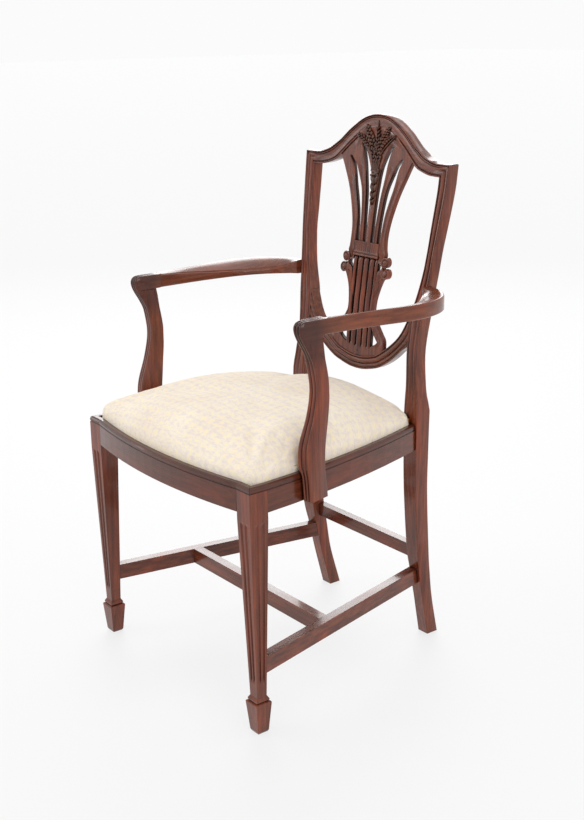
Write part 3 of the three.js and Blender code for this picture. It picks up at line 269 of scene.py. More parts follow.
def member_ring(a, b, thick, fade, back, profile=mould):
    """A section of the shield's frame from point a to point b of its face, each (x, z)."""
    long = hypot(b[0] - a[0], b[1] - a[1])
    ring = []

    def place(share, deep):
        x, z = lerp(a[0], b[0], share), lerp(a[1], b[1], share)
        ring.append((x, shield_face(x, z) + deep, z))

    for i in range(FACE_STEPS + 1):
        share = i / FACE_STEPS
        plain = 0.9 * sum(max(0, 1 - edge / 0.03) ** 2 for edge in (share, 1 - share))
        place(share, lerp(plain, profile(share), fade))
    for drop, run in ARC:
        place(1 - drop * back / long, thick - back + run * back)
    for drop, run in reversed(ARC):
        place(drop * back / long, thick - back + run * back)
    return ring


def make_post(side):
    rings = []
    levels = [0, 1.2, 3] + [6 + 14 * i for i in range(57)]
    levels += list(np.linspace(levels[-1], CREST_FOOT - 0.2, 7)[1:])
    for z in levels:
        fade = clamp((z - SEAT) / (SHIELD_FOOT - SEAT))
        outer_z = z + (CORNER - CREST_FOOT) * clamp((z - 800) / (CREST_FOOT - 800))
        inner, outer = (side * post_inner(z), z), (side * post_outer(outer_z), outer_z)
        rings.append(member_ring(inner, outer, post_depth(z), fade, 2.4))
    return loft("post_" + ("left" if side > 0 else "right"), rings)


def make_crest():
    rings = []
    steps = 108
    for i in range(steps + 1):
        t = 2 * i / steps - 1
        over_x, under_x = t * CORNER_HALF, t * post_inner(CREST_FOOT)
        over = (over_x, crest_over(abs(over_x)) + (0.2 if abs(t) == 1 else 0))
        under = (under_x, crest_under(abs(under_x)))
        plain = fall(0.86, 1.0, abs(t))
        centre = fall(0.27, 0.36, abs(t))

        def profile(share):
            open_field = lerp(crest_mould(share), CREST_FIELD, centre * fall(0.2, 0.36, share))
            return lerp(mould(share), open_field, plain)

        rings.append(member_ring(under, over, CREST_THICK, 1, 5.0, profile))
    return loft("crest", rings)


def make_shield_rail():
    rings = []
    steps = 96
    for i in range(steps + 1):
        t = 2 * i / steps - 1
        low_x, low_z, high_x, high_z = [line(abs(t)) for line in rail_at]
        side = copysign(1 - 0.3 / RAIL_HALF, t)
        upper, lower = (side * high_x, high_z), (side * low_x, low_z)
        rings.append(member_ring(upper, lower, RAIL_THICK, 1, 3.0))
    return loft("shield_rail", rings)


# Arm supports: level, front face, thickness and depth, as shares of the sizes here
ARM_UNDER = 652.0
SUPPORT_FOOT = 385.0
SUPPORT_TOP = ARM_UNDER - 0.3
SUPPORT_FRONT = 307.4
SUPPORT_SWEEP = 24.0
SUPPORT_THICK = 25.0
SUPPORT_DEPTH = 42.0
SUPPORT_SHARES = [
    (0, 0.154, 0.7, 1), (0.115, 0.065, 0.71, 0.976), (0.17, 0, 0.72, 0.964),
    (0.205, 0, 0.97, 0.964), (0.258, 0, 1, 0.964), (0.32, 0.05, 1.02, 0.957),
    (0.378, 0.19, 0.99, 0.917), (0.494, 0.608, 0.9, 0.763), (0.6, 0.887, 0.88, 0.663),
    (0.674, 0.99, 0.9, 0.6), (0.74, 0.95, 0.92, 0.6), (0.86, 0.69, 0.9, 0.605),
    (0.925, 0.444, 0.88, 0.635), (1, 0.1, 0.86, 0.72)]
SUPPORT = [(lerp(SUPPORT_FOOT, SUPPORT_TOP, z), front * SUPPORT_SWEEP - SUPPORT_FRONT,
            thick * SUPPORT_THICK, depth * SUPPORT_DEPTH)
           for z, front, thick, depth in SUPPORT_SHARES]
support_face = smooth(SUPPORT, 1)
support_thick = straight(SUPPORT, 2)
support_deep = smooth(SUPPORT, 3)
RAIL_REAR_HALF = post_outer(SEAT) - 4
LEG_INNER = FRONT_HALF - LEG
LEG_BACK = LEG - SEAT_DEPTH


def side_edge(y):
    t = clamp(1 + y / (SEAT_DEPTH - LEG))
    return lerp(FRONT_HALF, RAIL_REAR_HALF, t) + 12 * (1 - (2 * t - 1) ** 2)


def front_edge(x):
    return -SEAT_DEPTH - 21 * max(0, 1 - (x / LEG_INNER) ** 2)


ARM_SPREAD = 273.0
SUPPORT_FOOT_HALF = side_edge(-SUPPORT_FRONT) + 19.8
SUPPORT_TOP_HALF = ARM_SPREAD * 0.926


def reeds(share, depth=3.2):
    """Three rounded reeds side by side, as a depth sunk."""
    t = (share * 3) % 1.0 if share < 1 else 1.0
    return depth * abs(2 * t - 1) ** 2.6


# Arms from nose to post: outer edge (x, y), inner edge (x, y) and drop of the inner edge, as shares
ARM_TOP = 678.0
ARM_DEEP = 26.0
ARM_ROUND = 3.2
ARM_REACH = SUPPORT_FRONT + 19.0
ARM = [
    (0.926, 0.945, 0.853, 0.945, 0), (0.926, 0.925, 0.853, 0.925, 0),
    (0.927, 0.844, 0.859, 0.844, 0.04), (0.938, 0.66, 0.864, 0.66, 0.19),
    (0.96, 0.507, 0.863, 0.507, 0.385), (0.989, 0.369, 0.85, 0.36, 0.52),
    (1, 0.277, 0.832, 0.262, 0.58), (0.993, 0.191, 0.806, 0.182, 0.6),
    (0.963, 0.102, 0.769, 0.108, 0.577), (0.912, 0.026, 0.729, 0.053, 0.5),
    (0.835, -0.032, 0.692, 0.01, 0.385), (0.751, -0.07, 0.667, -0.015, 0.19),
    (0.645, -0.1, 0.645, -0.032, 0.02)]
ARM_RUN = [(i / (len(ARM) - 1), *row) for i, row in enumerate(ARM)]
arm_lines = [smooth(ARM_RUN, c) for c in range(1, 6)]


def arm_ring(row, side, sunk):
    """A section of the arm with round corners. sunk lowers its top under the carved end."""
    outer = (row[0] * ARM_SPREAD, -row[1] * ARM_REACH)
    inner = (row[2] * ARM_SPREAD, -row[3] * ARM_REACH)
    low, top = ARM_TOP - ARM_DEEP, ARM_TOP - sunk
    high = ARM_TOP - max(row[4] * ARM_DEEP, sunk)
    edge = ARM_ROUND / hypot(outer[0] - inner[0], outer[1] - inner[1])
    path = []

    def corner(share, z, turn_x, turn_z, first):
        for in_cos, in_sin in ARC:
            run, rise = (1 - in_sin, in_cos) if first else (in_cos, 1 - in_sin)
            path.append((share + turn_x * run * edge, z + turn_z * rise * ARM_ROUND))

    flats = [lerp(edge, 1 - edge, k / 40) for k in range(1, 40)]
    corner(0, low, 1, 1, True)
    corner(0, top, 1, -1, False)
    path += [(s, lerp(top, high, 1.4 * s * s - 0.4 * s ** 3)) for s in flats]
    corner(1, high, -1, -1, True)
    corner(1, low, -1, 1, False)
    path += [(1 - s, low) for s in flats]
    ring = [(side * lerp(outer[0], inner[0], s), lerp(outer[1], inner[1], s), z) for s, z in path]
    return ring if side > 0 else ring[::-1]


def make_arm(side):
    rings = []
    nose_y = arm_lines[1](0)
    steps = 84
    for i in range(-1, steps + 1):
        row = [line(max(i, 0) / steps) for line in arm_lines]
        away = (nose_y - row[1]) * ARM_REACH
        sunk = 4.5 * fall(38, 45, away) if i >= 0 else 12
        rings.append(arm_ring(row, side, sunk))
    return several("arm_" + ("near" if side > 0 else "far"), [loft_data(rings), knuckle(side)], 40)


# The carved end, as (y, z) over its face, then round its back
KNUCKLE_PATH = [
    (-262, 678.2), (-276, 678.2), (-290, 678.2), (-300, 678.0), (-306.5, 677.1), (-311.5, 674.6),
    (-314.6, 670.6), (-315.6, 665.4), (-314.4, 658.6), (-311.4, 651), (-307, 643), (-302, 635),
    (-297.6, 627), (-293.8, 619.5), (-291.4, 613)]
KNUCKLE_BACK = [(-266.5, 613), (-270, 640), (-272.5, 652.5), (-262, 653)]
KNUCKLE_SIDES = (232.6, 252.95)


def knuckle(side):
    """The carved end: three lobes from the arm's top, over the nose, to the support's reeds."""
    places = [0]
    for a, b in zip(KNUCKLE_PATH, KNUCKLE_PATH[1:]):
        places.append(places[-1] + hypot(b[0] - a[0], b[1] - a[1]))
    end = places[-1]
    rows = [(d, *p) for d, p in zip(places, KNUCKLE_PATH)]
    along_y, along_z = smooth(rows, 1), smooth(rows, 2)
    rings = []
    for i in range(37):
        share = i / 36
        x = side * lerp(*KNUCKLE_SIDES, share)
        ring = []
        for k in range(61):
            at = end * k / 60
            before, after = max(at - 0.5, 0), min(at + 0.5, end)
            dy, dz = along_y(after) - along_y(before), along_z(after) - along_z(before)
            nose = ease(28, 52, at) * fall(72, 104, at)
            deep = reeds(share, 2.6) * ease(0, 26, at) * (1 + 0.9 * nose) / hypot(dy, dz)
            ring.append((x, along_y(at) - dz * deep, along_z(at) + dy * deep))
        rings.append(ring + [(x, y, z) for y, z in KNUCKLE_BACK])
    return loft_data(rings)


def make_support(side):
    rings = []
    steps = 72
    wide = 40
    for i in range(steps + 1):
        z = lerp(SUPPORT_FOOT, SUPPORT_TOP, i / steps)
        rise = clamp((z - SEAT) / (ARM_UNDER - SEAT))
        turn = lerp(9.7, 2, rise) / SUPPORT_DEPTH
        outer = lerp(SUPPORT_FOOT_HALF, SUPPORT_TOP_HALF, rise)
        front, thick, deep = support_face(z), support_thick(z), support_deep(z)
        ring = []

        def at(across, back):
            x, y = outer - across - back * turn, front + back - across * turn
            if z < SEAT + 0.3:
                x = max(x, side_edge(y) + 0.3)
            ring.append((side * x, y, z))

        for k in range(wide + 1):
            at((1 - k / wide) * thick, reeds(k / wide))
        for drop, run in ARC:
            at(drop * 2, deep - 2 + run * 2)
        for drop, run in reversed(ARC):
            at(thick - drop * 2, deep - 2 + run * 2)
        rings.append(ring)
    return loft("arm_support_" + ("near" if side > 0 else "far"), rings)


# Splat: upright strips between its slots, each with its own section, then band, scrolls and carving
SPLAT_BACK = 3.0
SPLAT_THICK = 8.5
HEAD_HALF = 97.0
BAND_HALF = 33.5
WAIST = 35.5
REED_PITCH = 15.6
SLOT_HALF = 1.9
BASE_BAND = 16.0
SCROLL_RADIUS = 9.4


def up_share(z):
    return BAND_TOP + z * (crest_under(HEAD_HALF) - BAND_TOP)


def down_share(z):
    return RAIL_MIDDLE + z * (BAND_BOTTOM - RAIL_MIDDLE)


# The splat's outline: level and half width, at its foot, up to the band, and above it
OUTLINE_FOOT = [
    (540, 71.5), (556, 71.2), (564, 68.8), (572, 61.5), (580, 54.5), (588, 48), (597, 41)]
OUTLINE_WAIST = [
    (0.46, 1), (0.58, 1.014), (0.69, 1.146), (0.77, 1.313), (0.825, 1.47), (0.87, 1.5),
    (0.925, 1.36)]
OUTLINE_HEAD = [
    (-0.13, 0.52), (-0.07, 0.495), (0.07, 0.482), (0.24, 0.514), (0.42, 0.588), (0.605, 0.69),
    (0.79, 0.83), (1, 1.005), (1.2, 1.2)]
outline_half = smooth(OUTLINE_FOOT + [(down_share(z), x * WAIST) for z, x in OUTLINE_WAIST]
                      + [(up_share(z), x * HEAD_HALF) for z, x in OUTLINE_HEAD], 1)


def slot_edges(rows, tip_z):
    """Both edges of an upper slot, which ends in a round drilled hole."""
    rows = [(up_share(z), left * HEAD_HALF, right * HEAD_HALF) for z, left, right in rows]
    inner, outer = smooth(rows, 1), smooth(rows, 2)
    tip = up_share(tip_z)
    hole = 3.1

    def edges(z):
        near, far = inner(min(z, tip)), outer(min(z, tip))
        middle = (near + far) / 2 + max(z - tip, 0) * 0.75
        narrow = lerp(0.97, 0.62, ease(tip - 62, tip - 14, z))
        half = (far - near) / 2 * narrow if z < tip else 0.0
        off = (z - (tip - 2.0)) / hole
        if abs(off) < 1:
            half = max(half, hole * sqrt(1 - off * off))
        return middle - half, middle + half

    return edges


inner_slot = slot_edges([
    (0, 0.07, 0.14), (0.12, 0.072, 0.15), (0.24, 0.072, 0.163), (0.35, 0.075, 0.177),
    (0.47, 0.079, 0.193), (0.585, 0.086, 0.214), (0.7, 0.102, 0.248), (0.81, 0.124, 0.283),
    (0.925, 0.165, 0.33), (1.08, 0.29, 0.405), (1.14, 0.375, 0.44), (1.17, 0.42, 0.45)], 1.155)
outer_slot = slot_edges([
    (0, 0.258, 0.34), (0.12, 0.26, 0.348), (0.24, 0.268, 0.363), (0.35, 0.281, 0.39),
    (0.46, 0.3, 0.437), (0.57, 0.328, 0.49), (0.68, 0.373, 0.552), (0.8, 0.445, 0.613),
    (0.91, 0.53, 0.67), (0.97, 0.63, 0.72), (1.01, 0.71, 0.746)], 0.998)

member_inner = straight([
    (500, 33.3), (545, 33.3), (547.5, 38), (550, 43.6), (553.5, 49), (557, 52), (562, 46.5),
    (568, 41.2), (577, 35.8), (586, 31), (597, 27), (610, 25.5), (630, 25.8), (645, 27.6),
    (658, 30.4), (668, 32.6), (677, 34), (683, 35.5), (685, 39), (687, 43), (689.5, 45.2),
    (692, 45.2), (694.5, 43), (696.3, 39), (697.4, 34.5), (699, 33.6), (732, 33.2)], 1)


def lower_slot(middle):
    low = rail_over(abs(middle)) + BASE_BAND

    def half(z):
        return SLOT_HALF * sqrt(clamp((z - low) / 2))

    return low, half


def head_rise(x, z):
    """How far the splat's face comes forward to meet the crest's field round the carving."""
    top = crest_under(min(abs(x), CORNER_HALF))
    return (SPLAT_BACK - CREST_FIELD) * ease(top - 16, top - 1, z) * fall(44, 62, abs(x))


def strip(left, right, low, high, rows, cols, section, side):
    """A closed upright strip from left(z) to right(z), between the levels low(x) and high(x)."""
    rings = []
    for r in range(rows + 1):
        front = []
        for c in range(cols + 1):
            z = lerp(low(0), high(0), r / rows)
            for _ in range(9):
                x = lerp(left(z), right(z), c / cols)
                z = lerp(low(x), high(x), r / rows)
            x = lerp(left(z), right(z), c / cols)
            deep = SPLAT_BACK - head_rise(x, z) + section(c / cols, right(z) - left(z), z)
            front.append((side * x, shield_face(x, z) + deep, z))
        ends = []
        for (x, _, z), inward in ((front[-1], 0.4), (front[0], -0.4)):
            deep = shield_face(x, z) + SPLAT_BACK + SPLAT_THICK
            ends += [(x, deep - 0.4, z), (x - side * inward, deep, z)]
        ring = front + [ends[0], ends[1], ends[3], ends[2]]
        rings.append(ring if side > 0 else ring[::-1])
    return loft_data(rings)


def rounded(distance, radius):
    """Depth of a round edge at a distance from it."""
    if distance >= radius or radius <= 0:
        return 0.0
    return radius - sqrt(max(0.0, radius * radius - (radius - distance) ** 2))


def rib_section(left_open, right_open, radius, hollow_top=None):
    """Section of an upper rib: soft edges where a slot is open, and a hollow down its middle."""
    def section(s, wide, z):
        deep = rounded(s * wide, radius * clamp(left_open(z) / 1.5))
        deep += rounded((1 - s) * wide, radius * clamp(right_open(z) / 1.5))
        if hollow_top and z < hollow_top:
            below = hollow_top - z
            reach = 0.5 if below > 8 else 0.5 * sqrt(below / 8) + 0.01
            across = abs(s - 0.5) * 2 / reach
            if across < 1:
                deep += 1.5 * ease(0, 14, below) * (1 - across ** 2)
        return deep

    return section


def flat_top(x):
    return BAND_TOP - 3


def head_line(x):
    return crest_under(min(abs(x), CORNER_HALF)) - 0.35


def foot_line(x):
    return rail_over(min(abs(x), RAIL_HALF - 1)) + 0.3


def open_width(slot):
    return lambda z: slot(z)[1] - slot(z)[0]


def right_half(section):
    return lambda s, wide, z: section(0.5 + s / 2, 2 * wide, z)


def member_section(s, wide, z):
    """Section of the outer member: round edges, a hollow down its middle, proud by the band."""
    gap = open_width(outer_slot)(z) if z > BAND_TOP else 3.0 * ease(540, 552, z)
    deep = rounded((1 - s) * wide, 1.9) + rounded(s * wide, 1.8 * clamp(gap / 1.5))
    if z > BAND_TOP:
        deep += 1.4 * fall(834, 848, z) * max(0, 1 - ((s - 0.5) / 0.24) ** 2)
    elif z > 700:
        deep += 1.5 * max(0, 1 - ((s - 0.5) / 0.26) ** 2)
    elif z < 676:
        deep += 1.9 * ease(546, 566, z) * max(0, 1 - ((s - 0.52) / 0.3) ** 2)
    at_waist = ease(590, 612, z) * fall(690, 704, z)
    at_band = ease(706, 716, z) * fall(735, 760, z)
    return deep - 1.3 * at_waist - 0.9 * at_band


def member_side(z):
    return outer_slot(z)[1] if z > BAND_TOP else member_inner(z)


def reed(low):
    """Section of a reed under the band: it rises out of the flat foot at low and ends in a dome."""
    def section(s, wide, z):
        end = clamp((z - 693) / 10.8)
        dome = 3.4 * (1 - sqrt(max(0.0, 1 - end * end)))
        return (2.9 * abs(2 * s - 1) ** 2.2 - 1.5 + dome) * ease(low - 1, low + 7, z)

    return section


def reed_top(x):
    return BAND_BOTTOM - 1.2


def splat_strips():
    inner_open, outer_open = open_width(inner_slot), open_width(outer_slot)
    rib = right_half(rib_section(inner_open, inner_open, 2.2))
    half = REED_PITCH / 2
    low_a, open_a = lower_slot(half)
    low_b, open_b = lower_slot(3 * half)

    def middle(z):
        return 0.0

    def middle_rib(s, wide, z):
        return rib(s, wide, z) - fall(782, 800, z) * (1 - s ** 2)

    strips = [
        (middle, lambda z: inner_slot(z)[0], flat_top, head_line, 110, 9, middle_rib),
        (lambda z: inner_slot(z)[1], lambda z: outer_slot(z)[0], flat_top, head_line, 110, 16,
         rib_section(inner_open, outer_open, 1.6, 870)),
        (member_side, outline_half, foot_line, head_line, 250, 16, member_section),
        (middle, lambda z: half - open_a(z), foot_line, reed_top, 100, 8, right_half(reed(low_a))),
        (lambda z: half + open_a(z), lambda z: 3 * half - open_b(z), foot_line, reed_top, 100, 14,
         reed(low_b)),
        (lambda z: 3 * half + open_b(z), lambda z: 33.3 + 0.3 * ease(540, 560, z), foot_line,
         reed_top, 100, 12, reed(low_b))]
    return [strip(*row, side) for side in (1, -1) for row in strips]


def panel(low, high, cols, rows, depth, back):
    """A closed plate over the splat's face at the band, with a relief of its own."""
    def at(x, z, deep):
        return (x, shield_face(x, z) + SPLAT_BACK + deep, z)

    rings = []
    xs = [lerp(-BAND_HALF, BAND_HALF, c / cols) for c in range(cols + 1)]
    for r in range(rows + 1):
        z = lerp(low, high, r / rows)
        front = [at(x, z, depth(x, z)) for x in xs]
        rings.append(front + [at(xs[-1], z, back), at(xs[0], z, back)])
    return loft_data(rings)


def band_depth(x, z):
    """The fluted band: a bead at its foot, a step, and flutes that end short of its edges."""
    bead = 4.6
    lip = BAND_BOTTOM + bead
    if z < lip:
        return -3.0 + 1.6 * abs(2 * (z - BAND_BOTTOM) / bead - 1) ** 2.2
    if z < lip + 1.8:
        return -0.7
    rim = rounded(BAND_HALF - abs(x), 0.8) + rounded(BAND_TOP - z, 0.8)
    flute = 0.5 + 0.5 * cos(2 * pi * x / 5.6)
    run = ease(lip + 2.5, lip + 5, z) * fall(BAND_TOP - 4.5, BAND_TOP - 2, z)
    return rim - 1.9 + 0.85 * flute * run


def scroll(x, z, side, turn):
    """A rolled scroll: a domed disc with a spiral groove and an eye."""
    def at(share, angle, deep):
        reach = SCROLL_RADIUS * share
        px, pz = x + reach * cos(angle), z + reach * sin(angle)
        return side * px, shield_face(px, pz) + SPLAT_BACK + deep, pz

    angles = [2 * pi * i / 36 for i in range(36)]
    rings = []
    for r in range(15):
        share = r / 14
        dome = sqrt(max(0.0, 1 - (share * 0.97) ** 2))
        level = -1.0 - 2.1 * dome - 0.7 * exp(-(share / 0.22) ** 2)
        rings.append([at(share, angle, level + 2.3 * exp(
            -((share - 0.68 - 0.17 * cos(angle + turn)) / 0.12) ** 2)) for angle in angles])
    rings.append([at(1, angle, SPLAT_THICK - 0.3) for angle in angles])
    return loft_data(rings)


def carved(x, z, out):
    """A point standing out from the ground of the carving: the splat, then the crest's hollow."""
    hollow = lerp(SPLAT_BACK, CREST_FIELD, ease(-1.5, 0.5, z - crest_under(abs(x))))
    return x, shield_face(x, z) + min(SPLAT_BACK - head_rise(x, z), hollow) - out, z


def grain(x, z, angle, long, wide, high, proud):
    """A pointed seed lying on the face, its long way turned by angle from upright."""
    rings = []
    for i in range(9):
        t = i / 8
        thick = max(sin(pi * t ** 0.86) ** 0.72, 0.02)
        along = (t - 0.5) * long
        ring = []
        for k in range(10):
            turn = 2 * pi * k / 10
            across = wide / 2 * thick * cos(turn)
            ring.append(carved(x + sin(angle) * along + cos(angle) * across,
                               z + cos(angle) * along - sin(angle) * across,
                               proud + high * thick * sin(turn)))
        rings.append(ring)
    return loft_data(rings)


def bezier(a, b, c, t):
    """Place and direction on a curve from a to c that bends towards b."""
    x, z = [(1 - t) ** 2 * p + 2 * t * (1 - t) * q + t * t * r for p, q, r in zip(a, b, c)]
    dx, dz = [(1 - t) * (q - p) + t * (r - q) for p, q, r in zip(a, b, c)]
    return x, z, atan2(dx, dz)


def ear(base, bend, tip, count, seed_size, spread, proud, middle=True):
    """An ear of corn: pairs of seeds up a curve, a row along its middle and a pointed end."""
    parts = []
    long, wide = seed_size
    for k in range(count):
        t = (k + 0.5) / count
        x, z, angle = bezier(base, bend, tip, t)
        size = 0.78 + 0.3 * sin(pi * min(1, t * 1.05 + 0.08))
        for way in (1, -1):
            off = spread * size * way
            parts.append(grain(x + off * cos(angle), z - off * sin(angle), angle + 0.55 * way,
                               long * size, wide * size, 3.4, proud))
        if middle and k < count - 1:
            x, z, angle = bezier(base, bend, tip, (k + 1) / count)
            parts.append(grain(x, z, angle, long * 0.8 * size, wide * 0.9 * size, 4.2, proud + 0.8))
    parts.append(grain(*bezier(base, bend, tip, 1.0), long * 1.1, wide * 0.75, 2.8, proud))
    return parts


def beaded_ear(base, bend, tip, count, proud):
    """The sickle-shaped ear: a row of round seeds between two leaf edges."""
    parts = []
    for k in range(count):
        x, z, angle = bezier(base, bend, tip, (k + 0.4) / count)
        size = 1.0 - 0.25 * k / count
        parts.append(grain(x, z, angle, 7.0 * size, 6.2 * size, 4.2, proud + 0.3))
    for way in (1, -1):
        line = []
        for k in range(15):
            x, z, angle = bezier(base, bend, tip, k / 14)
            off = 5.2 * way * sin(pi * (0.12 + 0.86 * k / 14)) ** 0.7
            line.append((x + off * cos(angle), z - off * sin(angle)))
        parts.append(rod(line, 1.25, proud))
    return parts


def rod(points, radius, proud):
    """A round stem over the face through points (x, z)."""
    rings = []
    for i, (x, z) in enumerate(points):
        before, after = points[max(i - 1, 0)], points[min(i + 1, len(points) - 1)]
        angle = atan2(after[0] - before[0], after[1] - before[1])
        ring = []
        for k in range(8):
            turn = pi / 4 * k
            across = radius * cos(turn)
            ring.append(carved(x + across * cos(angle), z - across * sin(angle),
                               proud + radius * sin(turn)))
        rings.append(ring)
    return loft_data(rings)


def carving():
    parts = ear((-13, 893), (-30, 915), (-53, 920), 7, (8.6, 4.6), 4.0, 0.2)
    parts += ear((-5, 899), (-21, 919), (-28, 936), 6, (8.6, 6.2), 5.0, 1.2)
    parts += ear((3, 896), (19, 922), (32, 934), 7, (8.2, 4.8), 4.3, 0.9)
    parts += beaded_ear((9, 889), (22, 916), (50, 922), 8, 1.5)
    parts += ear((0, 890), (4, 915), (1, 937), 7, (9.0, 3.6), 2.5, 1.3, False)
    parts.append(grain(0.6, 941, 0, 14, 4.2, 2.6, 0.6))
    for level, spread, count in ((897, 13.0, 5), (890, 12.5, 4), (884, 11.5, 5), (878, 9.5, 4)):
        for k in range(count):
            share = k / (count - 1) * 2 - 1
            lean = 0.35 * share + (0.45 if k % 2 else -0.45)
            parts.append(grain(spread * share + 0.5, level, lean, 9.0, 4.6, 3.4, 0.7))
    for share in (-1, -0.5, 0, 0.5, 1):
        stem = (6.0 * share, 855), (6.8 * share, 866), (10.5 * share, 877)
        parts.append(rod([bezier(*stem, t / 8)[:2] for t in range(9)], 2.0, 0.5))
    tie = [(-9.8, 850.5), (-5, 852.6), (0, 852.8), (5, 854.2), (9.2, 857.6), (10.4, 863.5)]
    parts.append(rod(tie, 2.3, 1.6))
    tie = [(-10, 859.5), (-5, 858.2), (0, 857.4), (5, 855.2), (9.8, 850.8)]
    parts.append(rod(tie, 2.2, 1.1))
    for level, size in ((844, 1.08), (830, 0.96), (817, 0.82), (806, 0.64)):
        for way in (1, -1):
            parts.append(grain(4.7 * size * way, level - 1, pi + 0.4 * way, 18 * size, 7.6 * size,
                               3.4, 0.4))
        parts.append(grain(0, level - 3, pi, 17 * size, 6.2 * size, 4.6, 1.0))
    return parts


def make_splat():
    parts = splat_strips()
    parts.append(panel(BAND_BOTTOM, BAND_TOP, 96, 40, band_depth, SPLAT_THICK))
    parts.append(panel(688, BAND_TOP - 1, 4, 6, lambda x, z: 4.6, SPLAT_THICK - 0.2))
    for side in (1, -1):
        parts.append(scroll(53.0, 700.6, side, 0.6))
        parts.append(scroll(57.0, 680.6, side, -2.2))
    obj = several("splat_board", parts, 38)
    obj.data.materials.append(WOOD["splat"])
    obj.data.materials.append(WOOD["shaded_cheek"])
    # Faces on the walls inside the slots take the second, darker wood: painted shade in the slots.
    for p in obj.data.polygons:
        x, z = abs(p.center.x) / MM, p.center.z / MM
        inside = x < outline_half(z) - 2.5 and foot_line(x) + 1 < z < head_line(x) - 2
        if abs(p.normal.y) < 0.6 and inside and not BAND_BOTTOM < z < BAND_TOP:
            p.material_index = 1
    return obj


def make_carving():
    return several("wheat_ears", carving(), 50)


# Materials
WHITE = (1, 1, 1)


def fill(n, **values):
    """Sets a node's settings and inputs by name, with _ for a space. An output given is linked."""
    for key, value in values.items():
        name = key.replace("_", " ")
        if name in n.inputs:
            feed(n.inputs[name], value)
        else:
            setattr(n, key, value)
    return n


def feed(socket, value):
    if isinstance(value, bpy.types.NodeSocket):
        socket.id_data.links.new(value, socket)
    else:
        socket.default_value = value


def node(tree, kind, **values):
    return fill(tree.nodes.new(kind), **values)


def calc(tree, operation, *values, kind="ShaderNodeMath"):
    n = node(tree, kind, operation=operation)
    for socket, value in zip(n.inputs, values):
        feed(socket, value)
    return n.outputs[0]


def noise(tree, place, scale, detail, roughness=0.5, output="Fac"):
    return node(tree, "ShaderNodeTexNoise", Vector=place, Scale=scale, Detail=detail,
                Roughness=roughness).outputs[output]


def mapped(tree, place, location, scale):
    return node(tree, "ShaderNodeMapping", Vector=place, Location=location,
                Scale=scale).outputs["Vector"]


def mixed(tree, blend, factor, a, b):
    return node(tree, "ShaderNodeMix", data_type="RGBA", blend_type=blend, Factor=factor, A=a,
                B=b).outputs["Result"]


def ramp(tree, factor, stops):
    n = node(tree, "ShaderNodeValToRGB", Fac=factor)
    elements = n.color_ramp.elements
    while len(elements) < len(stops):
        elements.new(0.5)
    for element, (place, colour) in zip(elements, stops):
        element.position = place
        element.color = (*colour, 1)
    return n.outputs["Color"]


def bump(tree, strength, distance, height, **values):
    return node(tree, "ShaderNodeBump", Strength=strength, Distance=distance, Height=height,
                **values).outputs["Normal"]


def srgb(*colour):
    shares = [c / 255 for c in colour]
    return tuple(c / 12.92 if c <= 0.04045 else ((c + 0.055) / 1.055) ** 2.4 for c in shares)


def material(name):
    m = bpy.data.materials.new(name)
    m.use_nodes = True
    return m, m.node_tree, m.node_tree.nodes["Principled BSDF"]


MAHOGANY = [(84, 37, 22), (115, 54, 32), (141, 72, 43), (168, 92, 56)]
BEECH_TONES = [(168, 128, 86), (190, 152, 108), (204, 168, 124), (214, 182, 140)]


